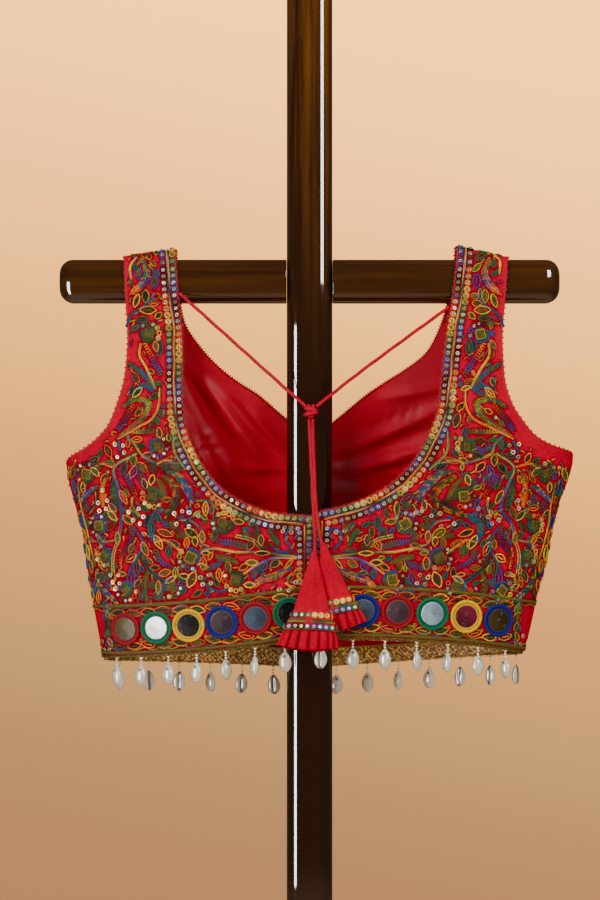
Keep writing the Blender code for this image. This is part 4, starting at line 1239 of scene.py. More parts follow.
# points along it, width, shades, tip
BACK_FEATHERS = (
    (((127, 167), (118, 170), (109, 182), (105, 192)), 9.0, ("green", "teal", "blue", "purple"), "orange"),
    (((131, 170), (120, 180), (119, 192), (127, 205)), 9.5, ("olive", "brick", "ink", "pine"), "orange"),
    (((173, 172), (174, 185), (171, 197)), 7.0, ("pine", "green", "pine"), "olive"),
    (((139, 203), (141, 214), (138, 227)), 6.5, ("teal", "pine", "blue"), "teal"),
    (((143, 252), (146, 266), (144, 279)), 7.0, ("olive", "brown", "pine", "olive"), "khaki"),
    (((189, 251), (187, 266), (172, 280)), 6.5, ("pine", "green", "teal", "blue", "purple"), "yellow"),
    (((72, 239), (82, 246), (92, 251)), 6.0, ("brick", "purple", "blue", "brick"), "olive"),
    (((18, 248), (32, 256), (44, 260), (52, 266)), 8.0, ("teal", "green", "purple", "orange"), "orange"),
    (((29, 231), (33, 224), (37, 217)), 6.5, ("green", "pine", "green"), "brick"),
    (((187, 179), (196, 185), (205, 194)), 6.5, ("teal", "blue", "blue", "orange"), "olive"),
    (((150, -20), (145, -7), (149, 3), (158, 11)), 7.5, ("green", "teal", "blue", "orange"), "orange"),
    (((162, 72), (150, 80), (138, 93)), 6.0, ("green", "blue", "olive"), "olive"),
    (((166, 111), (154, 104), (143, 108), (149, 121), (168, 136)), 6.0,
     ("green", "lime", "olive", "rust"), "teal"),
)
# points along it, shades, length of its leaves, threads
BACK_STEMS = (
    (((14, 240), (40, 236), (52, 226), (67, 222)), ("teal", "ink", "yellow"), 10.5, 3),
    (((14, 241), (33, 241), (48, 247), (60, 255)), ("yellow", "blue", "orange"), 11.0, 2),
    (((50, 236), (67, 236), (85, 233), (98, 235)), ("olive", "yellow", "blue"), 11.0, 2),
    (((153, 151), (173, 163), (170, 180), (167, 199), (167, 212), (170, 226), (174, 240), (174, 256)),
     ("green", "teal", "blue", "purple", "orange", "yellow"), 11.5, 3),
    (((156, 215), (148, 227), (150, 236), (157, 248), (161, 258)),
     ("purple", "blue", "green", "purple"), 11.5, 2),
    (((149, 232), (145, 247), (138, 256), (129, 262)), ("ink", "pine", "teal"), 11.0, 3),
    (((138, 228), (128, 226), (118, 233), (112, 238)), ("green", "orange", "yellow"), 11.0, 2),
    (((163, 41), (158, 30), (145, 21), (138, 11)), ("navy", "teal", "blue"), 11.5, 2),
    (((150, 55), (151, 66), (145, 77), (137, 95)), ("orange", "yellow", "lime"), 8.5, 2),
    (((133, 94), (134, 109), (140, 121), (152, 128), (170, 138)), ("olive", "orange", "yellow"), 9.0, 2),
    (((163, 135), (155, 143), (149, 152), (136, 160)), ("blue", "lime", "green"), 9.5, 2),
    (((136, 160), (128, 157), (117, 160)), ("teal", "yellow"), 10.5, 2),
    (((115, 208), (104, 210), (96, 219), (97, 228), (90, 232)), ("blue", "teal", "orange"), 10.5, 2),
    (((95, 262), (88, 268), (80, 270), (72, 267)), ("green", "blue", "teal"), 10.0, 2),
    (((174, 163), (185, 160), (192, 165)), ("orange", "rust"), 9.5, 2),
    (((173, 227), (182, 228), (188, 222)), ("teal", "orange"), 9.5, 2),
    (((206, 176), (203, 196), (199, 214), (195, 232), (190, 250)),
     ("green", "olive", "yellow", "brown"), 9.0, 2),
    (((122, 132), (120, 150), (110, 165)), ("lime", "teal"), 9.5, 2),
    (((60, 218), (52, 212), (46, 210)), ("green", "teal"), 8.5, 2),
)
BACK_FERNS = (
    (((181, 172), (184, 184), (183, 198)), ("orange", "rust", "rust")),
    (((47, 218), (45, 227), (40, 233)), ("ink", "olive", "brown")),
    (((64, 246), (74, 242), (84, 240)), ("olive", "khaki", "olive")),
    (((136, 172), (131, 180), (128, 190)), ("olive", "khaki")),
    (((155, 96), (146, 92), (139, 96)), ("green", "blue")),
    (((104, 216), (108, 222), (118, 222)), ("olive", "brown")),
)
# points along the stem, shades, places of its sequins
BACK_SEQUINS = (
    (((157, 189), (157, 197), (150, 206)), ("lime", "green", "yellow"),
     ((160, 202), (151, 199), (147, 206), (150, 212), (156, 209))),
    (((117, 207), (112, 205)), ("blue", "teal"),
     ((120, 203), (113, 201), (107, 202), (99, 205), (118, 212), (107, 214))),
    (((172, 256), (172, 262)), ("yellow", "olive"),
     ((176, 257), (169, 257), (174, 263), (168, 264), (172, 269))),
    (((169, 140), (168, 150)), ("teal", "blue"), ((172, 143), (165, 144), (164, 150), (170, 154))),
    (((92, 258), (97, 262)), ("green", "teal"), ((97, 258), (90, 256), (95, 264), (88, 263))),
    (((180, 186), (184, 196)), ("rust", "orange"),
     ((183, 183), (179, 192), (187, 194), (180, 199), (186, 201))),
    (((24, 262), (17, 268)), ("orange", "yellow"), ((15, 262), (9, 263), (29, 268), (21, 269))),
    (((22, 222), (24, 226)), ("lime", "olive"), ((19, 219), (26, 218))),
)
BACK_CURLS = (
    (((17, 234), (23, 226), (22, 218), (16, 216), (13, 221), (16, 225)), ("teal", "blue", "purple")),
)

# x, down, way it points in degrees from outward to downward, length, width, outline: leaves laid one by one
BACK_LEAVES = (
    (190, 167, 135, 11, 5, "yellow"), (182, 173, 60, 11, 6, "green"), (165, 189, 120, 14, 5, "orange"),
    (175, 205, -45, 12, 5.5, "yellow"), (176, 214, 45, 12, 6, "brown"), (170, 225, 90, 12, 5, "lime"),
    (156, 157, 90, 11, 6, "lime"), (156, 167, 66, 12, 6, "blue"), (148, 163, 135, 12, 6, "orange"),
    (149, 172, 108, 14, 6, "purple"), (140, 174, 72, 10, 5, "yellow"), (125, 157, 198, 14, 5, "rust"),
    (119, 162, 151, 15, 6, "teal"), (143, 209, 60, 13, 5.5, "purple"), (135, 206, 120, 11, 5, "blue"),
    (140, 216, 90, 14, 6, "teal"), (128, 220, 162, 15, 5.5, "orange"), (134, 228, 120, 14, 6, "yellow"),
    (121, 229, 162, 14, 6, "rust"), (125, 236, 90, 10, 5, "green"), (146, 234, 114, 14, 6, "orange"),
    (158, 242, 32, 11, 6.5, "yellow"), (158, 260, 90, 17, 7, "blue"), (166, 256, 0, 8, 4, "orange"),
    (153, 250, 90, 16, 6, "green"), (137, 250, 0, 10, 5, "rust"), (134, 267, 90, 12, 5, "orange"),
    (123, 260, 212, 12, 4, "yellow"), (212, 166, 100, 11, 5, "teal"), (209, 180, 100, 14, 4, "blue"),
    (198, 197, 100, 10, 6, "purple"), (202, 211, 100, 14, 5, "blue"), (200, 224, 100, 14, 5, "orange"),
    (197, 238, 95, 14, 5, "yellow"), (194, 250, 95, 12, 5, "orange"), (96, 187, 90, 10, 5, "green"),
    (93, 199, 90, 13, 5, "yellow"), (87, 193, 60, 8, 4, "yellow"), (105, 220, 148, 14, 7, "lime"),
    (96, 223, 90, 11, 5, "orange"), (102, 227, 100, 9, 5, "yellow"), (58, 220, 122, 11, 7, "blue"),
    (54, 211, 90, 12, 6, "teal"), (49, 219, 90, 11, 5, "green"), (45, 226, 90, 10, 5, "orange"),
    (54, 230, 60, 10, 6, "orange"), (44, 237, 180, 14, 4, "yellow"), (53, 245, 0, 11, 5, "yellow"),
    (60, 249, 30, 10, 5, "orange"), (43, 248, 58, 9, 7, "blue"), (33, 246, 30, 10, 6, "lime"),
    (51, 255, 90, 9, 5, "blue"), (21, 246, 49, 12, 3, "orange"), (95, 246, 90, 12, 6, "orange"),
    (93, 237, 0, 8, 4, "orange"), (105, 260, 66, 15, 8, "yellow"), (100, 272, 32, 12, 5, "rust"),
    (138, 1, 90, 13, 7, "blue"), (146, 14, 90, 12, 6, "lime"), (154, 18, 72, 13, 5, "yellow"),
    (137, 14, 20, 8, 5, "rust"), (139, 20, 0, 9, 5, "orange"), (144, 26, 0, 15, 7, "yellow"),
    (155, 32, 18, 12, 6, "blue"), (135, 31, 45, 8, 5, "lime"), (157, 54, 114, 12, 7, "yellow"),
    (134, 59, 90, 16, 6, "teal"), (153, 98, 45, 12, 5, "yellow"), (160, 95, 60, 11, 6, "green"),
    (177, 139, 45, 7, 6, "orange"), (191, 157, 30, 10, 6, "green"),
)

# The front: fewer large pieces, filled out with sprigs.
FRONT_FLOWERS = (
    (30, 165, 30, 1.05), (80, 140, -60, 1.05), (135, 160, 20, 1.0), (60, 205, 100, 1.1), (120, 215, 40, 1.05),
    (180, 195, -20, 1.0), (35, 250, 60, 1.05), (90, 262, 120, 1.0), (150, 255, 60, 1.05), (186, 245, 20, 0.9),
    (142, 50, -130, 0.95), (120, 105, 150, 1.0), (70, 108, -60, 0.9), (20, 285, 150, 0.9),
)
FRONT_COILS = (
    (((45, 150), (55, 160), (60, 172)), 5.0, 7.0, ("orange", "purple", "blue")),
    (((100, 170), (112, 180), (116, 194)), 7.0, 4.0, ("green", "teal", "blue", "rust")),
    (((150, 180), (160, 190), (163, 204)), 6.0, 3.5, ("purple", "navy", "orange")),
    (((60, 228), (74, 232), (84, 242)), 7.0, 4.0, ("teal", "green", "blue", "brown")),
    (((120, 240), (126, 250), (124, 264)), 6.5, 3.5, ("olive", "green", "purple")),
    (((150, 75), (145, 90), (150, 104)), 4.0, 6.5, ("orange", "rust", "blue")),
)
FRONT_FEATHERS = (
    (((20, 190), (34, 196), (42, 210)), 8.5, ("green", "teal", "blue", "purple"), "orange"),
    (((85, 170), (84, 184), (92, 197)), 8.0, ("olive", "brick", "pine"), "yellow"),
    (((140, 185), (132, 198), (136, 212)), 7.5, ("teal", "blue", "orange"), "olive"),
    (((165, 215), (170, 230), (164, 244)), 7.0, ("pine", "green", "purple"), "yellow"),
    (((60, 262), (66, 276), (58, 288)), 7.5, ("teal", "green", "orange"), "orange"),
    (((105, 225), (98, 238), (104, 250)), 7.0, ("blue", "navy", "purple"), "rust"),
    (((150, -18), (146, -6), (150, 4), (157, 12)), 7.0, ("green", "teal", "blue", "orange"), "orange"),
    (((105, 82), (118, 86), (130, 80)), 6.5, ("green", "olive", "rust"), "lime"),
)
FRONT_STEMS = (
    (((8, 230), (24, 222), (44, 190), (62, 150), (78, 150)), ("teal", "yellow", "blue"), 11.5, 3),
    (((8, 232), (50, 238), (90, 215), (118, 200), (135, 172)), ("green", "orange", "teal"), 11.5, 3),
    (((10, 240), (60, 252), (110, 250), (150, 235), (180, 210)), ("blue", "lime", "purple"), 11.5, 3),
    (((150, 150), (160, 165), (178, 180), (190, 200)), ("teal", "orange"), 10.5, 2),
    (((162, 41), (157, 30), (145, 21), (139, 11)), ("navy", "teal", "blue"), 11.0, 2),
    (((143, 62), (140, 85), (132, 110), (120, 130), (100, 140)), ("olive", "orange", "yellow"), 10.0, 2),
    (((20, 150), (40, 135), (55, 120), (75, 120)), ("green", "yellow", "teal"), 10.0, 2),
)


PATTERNS = {
    "back": (
        BACK_FLOWERS, BACK_COILS, BACK_FEATHERS, BACK_STEMS,
        BACK_FERNS, BACK_SEQUINS, BACK_CURLS, BACK_LEAVES,
    ),
    "front": (FRONT_FLOWERS, FRONT_COILS, FRONT_FEATHERS, FRONT_STEMS),
}


class Pattern:
    """Puts the tables above on a panel. They are drawn for the left, and fitted to the right's own edges."""

    def __init__(self, stitcher):
        self.pen = stitcher
        self.face, self.side = stitcher.face, stitcher.side
        rows = np.linspace(0, HEM_ROW, 400)
        self.edges = {}
        for side in SIDES:
            for end in (0, 2):
                turn, down = section_end(self.face, side, end, rows)
                self.edges[side, end] = down, across_of(self.face, side, turn, np.maximum(down, BEND_START))

    def edge(self, side, end, down):
        """How far round an edge of either side's panel lies at a distance down."""
        downs, acrosses = self.edges[side, end]
        return np.interp(down, downs, acrosses)

    def at(self, places):
        """(across, down) in metres of places in millimetres on the left panel."""
        places = np.atleast_2d(np.asarray(places, float)) / 1000
        down = places[:, 1]
        across = across_at(self.face, "left", places[:, 0], down)
        if self.side == "right":
            inner, outer = self.edge("left", 0, down), self.edge("left", 2, down)
            mine, far = self.edge("right", 0, down), self.edge("right", 2, down)
            across = mine + (across - inner) * (far - mine) / (outer - inner)
        return np.stack([across, down], 1)

    def fence(self):
        """Marks as used all that lies off the panel or close to its edges."""
        pen = self.pen
        down = (np.arange(CELL_ROWS) + 0.5) * CELL - CELLS_ABOVE
        across = (np.arange(CELL_COLUMNS) + 0.5) * CELL
        inner, outer = self.edge(self.side, 0, down), self.edge(self.side, 2, down)
        hem = hem_down(self.face, self.side, across)
        grid = (across[None] < inner[:, None]) | (across[None] > outer[:, None] - FENCE_SEAM)
        grid |= down[:, None] > hem[None] - BAND_HEIGHT - 0.0015
        grid |= (down < -0.036)[:, None]
        pen.off |= grid
        d, a = np.meshgrid(down, across, indexing="ij")
        for end, margins in ((0, (FENCE_NECK, FENCE_NECK)), (2, FENCE_ARM[self.side])):
            centre_foot = HEM_ROW if self.face == "back" else NECK_ROW["front"]
            last = centre_foot if end == 0 else UNDERARM_ROW
            line = edge_line(self.face, self.side, end, np.linspace(0, last, 200))[::3]
            for p, share in zip(line, np.linspace(0, 1, len(line))):
                margin = np.interp(share, (0.45, 0.80), margins)
                pen.off |= (a - p[0]) ** 2 + (d - p[1]) ** 2 < margin**2

    def fill(self, tries):
        """Leaves that follow the nearest stem, then sprigs, rings and knots, wherever there is room."""
        pen = self.pen
        ways = np.vstack(pen.ways)
        # share of the tries, share that may cross older work, length of a leaf, way off the stem from and to
        steps = (
            (0.08, 0.12, None, 0.5, 0.9), (0.30, 0.06, 0.0130, 0.35, 1.0), (0.50, 0.12, 0.0110, 0.35, 1.2),
            (0.75, 0.22, 0.0088, 0.2, 1.6), (1.01, 0.30, 0.0068, -0.6, 2.4),
        )
        for attempt in range(tries):
            at = np.array([pen.chance.uniform(0.0, 0.25), pen.chance.uniform(-0.04, 0.31)])
            _, crossing, length, first, last = next(row for row in steps if attempt / tries < row[0])
            if not pen.is_free(at[None]):
                continue
            near = ways[np.argmin(((ways[:, :2] - at) ** 2).sum(1))]
            run = heading(near[2])
            apart = at - near[:2]
            side = 1 if run[0] * apart[1] - run[1] * apart[0] > 0 else -1
            angle = near[2] + side * pen.chance.uniform(first, last)
            way = heading(angle)
            if length is None:
                bend = 0.0035 * side * np.array([-way[1], way[0]])
                twig = np.array([at, at + 0.010 * way + bend, at + 0.021 * way])
                if pen.is_free(curve_through(twig, 0.001), crossing):
                    colours = tuple(pen.pick(TWIG_THREADS) for _ in range(3))
                    pen.spray(twig, colours, 0.0088, 0.0062, 2)
                continue
            length *= pen.chance.uniform(0.85, 1.12)
            width = length * pen.chance.uniform(0.42, 0.54)
            if pen.leaf_fits(at, angle, length, width, crossing):
                pen.leaf(at, angle, length, width, pen.pick(LEAF_THREADS))
                tail = at - 0.0045 * way - 0.001 * run
                pen.thread([at, (at + tail) / 2 + 0.0004, tail], pen.pick(("lime", "teal", "green")), 0.9)
            elif crossing > 0.2 and pen.chance.uniform() < 0.25:
                turn = np.linspace(0, math.tau, 8, endpoint=False)
                if pen.is_free(at + 0.0022 * circle(turn), 0.1):
                    pen.ring(at, 0.0016, pen.pick(RING_CYCLE), pen.chance.uniform() < 0.3, 0.9)
                else:
                    hook = np.array([at, at + 0.0022 * way, at + 0.0030 * way + 0.0020 * run])
                    pen.thread(hook, (pen.pick(RIM_THREADS), pen.pick(RIM_THREADS)), 0.95)

    def draw(self, flowers, coils, feathers, stems, ferns=(), sprays=(), curls=(), leaves=()):
        """Works the tables of one face."""
        pen = self.pen
        for x, down, facing, size in flowers:
            pen.flower(self.at((x, down))[0], math.radians(facing), size)
        for points, start, end, shades in coils:
            pen.coil(self.at(points), start / 1000, end / 1000, shades)
        for points, width, shades, tip in feathers:
            pen.feather(self.at(points), width / 1000, shades, tip)
        for points, shades, spots in sprays:
            pen.sequin_spray(self.at(points), shades, self.at(spots))
        for x, down, angle, length, width, rim in leaves:
            angle, length = math.radians(angle), length / 1000
            base = self.at((x, down))[0] - length / 2 * heading(angle)
            pen.leaf(base, angle, length, width / 1000, rim)
        for points, shades in ferns:
            pen.fern(self.at(points), shades)
        for points, shades in curls:
            pen.stem(self.at(points), shades, 2)
        for points, shades, length, threads in stems:
            pen.spray(self.at(points), shades, length / 1000, 0.0070, threads)


def ringed_row(pen, line, pitch, first, radius=0.0024):
    """A row of ringed sequins along a line, whose colours run through the cycle."""
    line = even_steps(line, pitch)
    for k, place in enumerate(line):
        pen.ring(place, radius, RING_CYCLE[(first + k) % len(RING_CYCLE)], True, 1.15)


def edging(pen, face, side):
    """Two rows of ringed sequins down the neckline and the centre slit, with a chain line between."""
    rows = np.linspace(0, NECK_ROW[face] - 0.02, 260)
    pitch = pen.sizes.ring_pitch
    for inward, first in ((0.0033, 0), (0.0117, 5)):
        line = edge_line(face, side, 0, rows, inward)
        line = line[line[:, 0] > (0.0046 if inward < 0.005 else 0.0125)]
        ringed_row(pen, line, pitch, first + (4 if side == "right" else 0))
    for k, offset in enumerate((-0.0005, 0.0005)):
        row = edge_line(face, side, 0, rows, 0.0075 + offset)
        shades = ("green", "yellow", "blue", "pine", "yellow", "navy", "orange") * 3
        pen.thread(row[row[:, 0] > 0.0085], shades if k else shades[::-1], 1.0)
    if face == "back":
        top, foot = section_end(face, side, 0, np.array([NECK_ROW[face], HEM_ROW]))[1]
        foot -= BAND_HEIGHT + 0.002
        for inward, first in ((0.0033, 3), (0.0117, 9)):
            below = top + (0.0033 if inward < 0.005 else 0.0145)
            ringed_row(pen, np.array([[inward, below], [inward, foot - 0.002]]), 0.0053, first)
        pen.thread([[0.0075, top + 0.008], [0.0075, foot]], ("yellow", "olive", "brown", "olive"))


def band(pen, face, side):
    """The hem band: braided lines above and below, and a vine of leaves round the mirrors."""
    far = float(across_of(face, side, math.pi / 2, 0.30)) - 0.002
    across = np.arange(0.0015, far, 0.001)
    hem = hem_down(face, side, across)
    for above in (BAND_HEIGHT, 0.0022):
        for shade, phase in (("olive", 0), ("khaki", math.pi)):
            wave = 0.0009 * np.sin(across / 0.0019 * math.pi + phase)
            pen.thread(np.stack([across, hem - above + wave], 1), shade, 1.15, 0.0003, step=0.0008)
        for way in (-0.0012, 0.0012):
            pen.thread(np.stack([across, hem - above + way], 1), ("brown", "olive") * 6, 0.7)
    for above, shades in (
        (0.0052, ("yellow", "teal", "blue", "lime", "green")),
        (BAND_HEIGHT - 0.0032, ("teal", "olive", "orange")),
    ):
        wave = 0.0011 * np.sin(across / 0.0085 * math.pi)
        pen.thread(np.stack([across, hem - above + wave], 1), shades * 3, 0.85)
    places = mirror_places(face, side)
    half = MIRROR_PLACES[face][side][1] / 2
    between = [places[0][0] - half] + [a + half for a, _ in places]
    for above, sign in ((BAND_HEIGHT - 0.0053, 1), (0.0072, -1)):
        for a, _ in places:
            for way in (-1, 1):
                at = np.array([a + way * 0.0012, hem_at(face, side, a) - above])
                angle = (0.0 if way > 0 else math.pi) + way * sign * 0.16
                rim = pen.pick(("yellow", "orange", "lime", "orange", "rust", "green"))
                pen.leaf(at, angle, 0.0140, 0.0060, rim)
    outer = places[-1][0] + half
    for k, above in enumerate((0.0075, 0.0155, 0.0235, 0.0315, 0.0375)):  # upright leaves at the side seam
        for way, gap in ((1, 0.0010), (-1, 0.0075)):
            a = outer + gap + 0.0012 * (k % 2)
            down = hem_at(face, side, a) - above
            if a < far - 0.002:
                pen.leaf((a, down), -math.pi / 2 + way * 0.45, 0.0088, 0.0046, pen.pick(LEAF_THREADS))
    for a, above in ((outer + 0.004, 0.0055), (outer + 0.0105, 0.0052), (outer + 0.0125, 0.0125)):
        if a < far - 0.002:
            pen.sequin((a, hem_at(face, side, a) - above), 1.15, 0.0003)
    for a in between:
        for above in (BAND_HEIGHT - 0.0105, 0.0125, 0.0222):
            at = np.array([a, hem_at(face, side, a) - above])
            if not 0.004 < a < far - 0.002:
                continue
            pen.ring(at, 0.0012, pen.pick(("orange", "blue", "lime", "rust")), False, 0.8)


def mirror_places(face, side):
    """(across, down) of each mirror of a panel, from the centre outwards."""
    first, pitch = MIRROR_PLACES[face][side]
    across = [first + pitch * k for k in range(MIRRORS_EACH)]
    return [(a, hem_at(face, side, a) - MIRROR_ABOVE_HEM) for a in across]


# ---------------------------------------------------------------- operators
GROUNDS = {}


def shade_ground(face, side, pen):
    """Paints shade on each point of a panel by how closely the stitches lie round it: painted shade between
    the threads.
    """
    made, places = GROUNDS[face, side]
    close = pen.used.astype(float)
    for axis in (0, 1):
        close = (np.roll(close, 1, axis) + close + np.roll(close, -1, axis)) / 3
    values = np.zeros(len(made.data.vertices))
    values[:len(places)] = close[pen.cells(places)]
    made.data.attributes.new("stitched", "FLOAT", "POINT").data.foreach_set("value", values)


class CHOLI_OT_panels(bpy.types.Operator):
    """Cuts the four panels in fine cloth, each with its half of a strap"""

    bl_idname = "choli.panels"
    bl_label = "Cloth panels"

    def execute(self, context):
        pucker = context.scene.choli_sizes.pucker
        for (face, side), surface in MAPS.items():
            step, columns = CLOTH_GRID[face]
            across, down = panel_places(face, side, fine_rows(0, step), columns)
            edge = np.minimum(np.linspace(0, 1, columns), np.linspace(1, 0, columns)) * 12
            lift = puckers(across, down) * pucker * np.clip(edge, 0, 1)
            outer = surface.lifted(across, down, lift)
            inner = surface.lifted(across, down, np.full(across.shape, -SHELL_THICK))
            made = wall_object(f"cloth_{face}_{side}", outer, inner, "cloth", "satin")
            GROUNDS[face, side] = made, np.stack([across.ravel(), down.ravel()], 1)
            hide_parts(f"{face}_panel_{side}")
            grid_area(outer)
        return {"FINISHED"}


def grid_area(points):
    """The area of a grid of points."""
    a = points[1:, :-1] - points[:-1, :-1]
    b = points[:-1, 1:] - points[:-1, :-1]
    c = points[1:, :-1] - points[1:, 1:]
    d = points[:-1, 1:] - points[1:, 1:]
    halves = (np.linalg.norm(np.cross(one, two), axis=-1).sum() for one, two in ((a, b), (c, d)))
    return float(sum(halves) / 2)


def wall_object(name, outer, inner, finish, inner_finish=None):
    """A closed wall between two grids of points, with its own finish inside if one is given."""
    work = Work()
    rows, columns = outer.shape[:2]
    turned = np.cross(outer[1, 0] - outer[0, 0], outer[0, 1] - outer[0, 0]) @ (outer[0, 0] - inner[0, 0]) > 0
    work.grid(outer, flip=not turned)
    work.grid(inner, flip=turned)
    below = rows * columns
    rim = [(0, c) for c in range(columns)] + [(r, columns - 1) for r in range(1, rows)]
    rim += [(rows - 1, c) for c in range(columns - 2, -1, -1)] + [(r, 0) for r in range(rows - 2, 0, -1)]
    rim = [r * columns + c for r, c in rim]
    for a, b in zip(rim, rim[1:] + rim[:1]):
        face = (a, b, b + below, a + below)
        work.faces.append(face if turned else face[::-1])
    made = work.object(name, finish)
    if inner_finish:
        made.data.materials.append(finish_named(inner_finish))
        count = (rows - 1) * (columns - 1)
        index = np.zeros(len(made.data.polygons), int)
        index[count:2 * count] = 1
        made.data.polygons.foreach_set("material_index", index)
    return made


class CHOLI_OT_lining(bpy.types.Operator):
    """Lines the front with satin, seen through the low back neck"""

    bl_idname = "choli.lining"
    bl_label = "Satin lining"

    def execute(self, context):
        top = SHELL_THICK + GAP
        for side in SIDES:
            surface = MAPS["front", side]
            step, columns = LINING_GRID
            across, down = panel_places("front", side, fine_rows(LINING_FIRST_ROW, step), columns)
            folds = lining_folds(side, across, down)
            outer = surface.lifted(across, down, np.full(across.shape, -top))
            inner = surface.lifted(across, down, -top - LINING_THICK - folds)
            made = wall_object(f"satin_lining_{side}", outer, inner, "satin")
            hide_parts(f"front_lining_{side}")
            grid_area(outer)
        return {"FINISHED"}


# Soft folds of the lining and the seams of its cup: sides, ends in millimetres, height, half width.
LINING_CREASES = (
    ("left", (112, 85), (66, 168), -3.0, 6.5), ("left", (96, 88), (44, 160), 3.2, 7.0),
    ("left", (72, 104), (30, 152), -2.0, 5.0), ("left", (58, 112), (18, 158), 2.2, 5.5),
    ("left", (128, 100), (92, 165), 2.4, 7.0), ("left", (108, 130), (80, 176), -2.0, 5.0),
    ("left", (20, 182), (90, 196), 1.8, 5.0), ("left", (84, 180), (140, 192), -1.6, 5.0),
    ("right", (30, 148), (118, 108), 2.4, 5.5), ("right", (24, 158), (120, 124), -2.4, 4.5),
    ("right", (34, 166), (124, 140), 2.4, 4.5), ("right", (52, 168), (130, 154), -1.8, 4.0),
    ("right", (62, 100), (112, 92), 1.6, 6.0), ("right", (16, 186), (110, 190), 1.6, 5.0),
    ("left", (52, 128), (100, 134), 1.0, 1.6), ("left", (60, 141), (112, 150), -1.1, 1.7),
    ("left", (22, 166), (74, 160), 1.2, 2.2), ("left", (88, 112), (70, 130), 1.0, 1.8),
    ("right", (40, 128), (96, 112), -0.9, 1.7), ("right", (58, 150), (104, 146), 1.0, 1.8),
    ("right", (30, 172), (96, 176), -1.0, 2.0),
    ("both", (4, 170), (160, 175), -1.3, 1.8), ("both", (77, 150), (77, 320), 0.8, 2.0),
    ("both", (20, 240), (60, 300), 1.0, 8.0), ("both", (100, 200), (160, 235), 1.3, 8.0),
)


def lining_folds(side, across, down):
    """How far the lining stands in from its own plane, in metres."""
    height = np.zeros(across.shape)
    places = np.stack([across, down], -1) * 1000
    for sides, a, b, rise, half in LINING_CREASES:
        if sides not in (side, "both"):
            continue
        a, b = np.array(a, float), np.array(b, float)
        run = b - a
        share = np.clip(((places - a) @ run) / (run @ run), 0, 1)
        away = np.linalg.norm(places - (a + share[..., None] * run), axis=-1)
        ends = np.sin(math.pi * (0.08 + 0.84 * share)) ** 0.6
        height += rise / 500 * ends * np.exp(-((away / half * 1.25) ** 2))
    above_lace = np.clip((hem_down("front", side, across) - down - 0.011) / 0.03, 0, 1)
    return np.maximum(height + 0.0022, 0.0) * np.clip((down - 0.045) / 0.03, 0, 1) * above_lace


class CHOLI_OT_embroidery(bpy.types.Operator):
    """Works the threads and sequins over each panel"""

    bl_idname = "choli.embroidery"
    bl_label = "Embroidery"

    def execute(self, context):
        for number, (face, side) in enumerate(MAPS):
            pen = Stitcher(face, side, 11 + number)
            pattern = Pattern(pen)
            edging(pen, face, side)
            pattern.fence()
            pattern.draw(*PATTERNS[face])
            pattern.fill(FILL_TRIES[face])
            pen.off[:] = False
            band(pen, face, side)
            shade_ground(face, side, pen)
            threads = pen.threads_object(f"threads_{face}_{side}")
            pen.sequins_object(f"sequins_{face}_{side}")
        return {"FINISHED"}


# tones of the twelve mirrors of a face, from its left end to its right: painted reflections of the room
GLASS_PAINTED_REFLECTIONS = np.array((
    (0.050, 0.036, 0.010), (0.560, 0.550, 0.520), (0.014, 0.013, 0.012), (0.048, 0.028, 0.034),
    (0.040, 0.056, 0.085), (0.008, 0.007, 0.007), (0.030, 0.028, 0.026), (0.050, 0.064, 0.090),
    (0.050, 0.026, 0.034), (0.190, 0.250, 0.310), (0.090, 0.006, 0.018), (0.036, 0.022, 0.006),
))


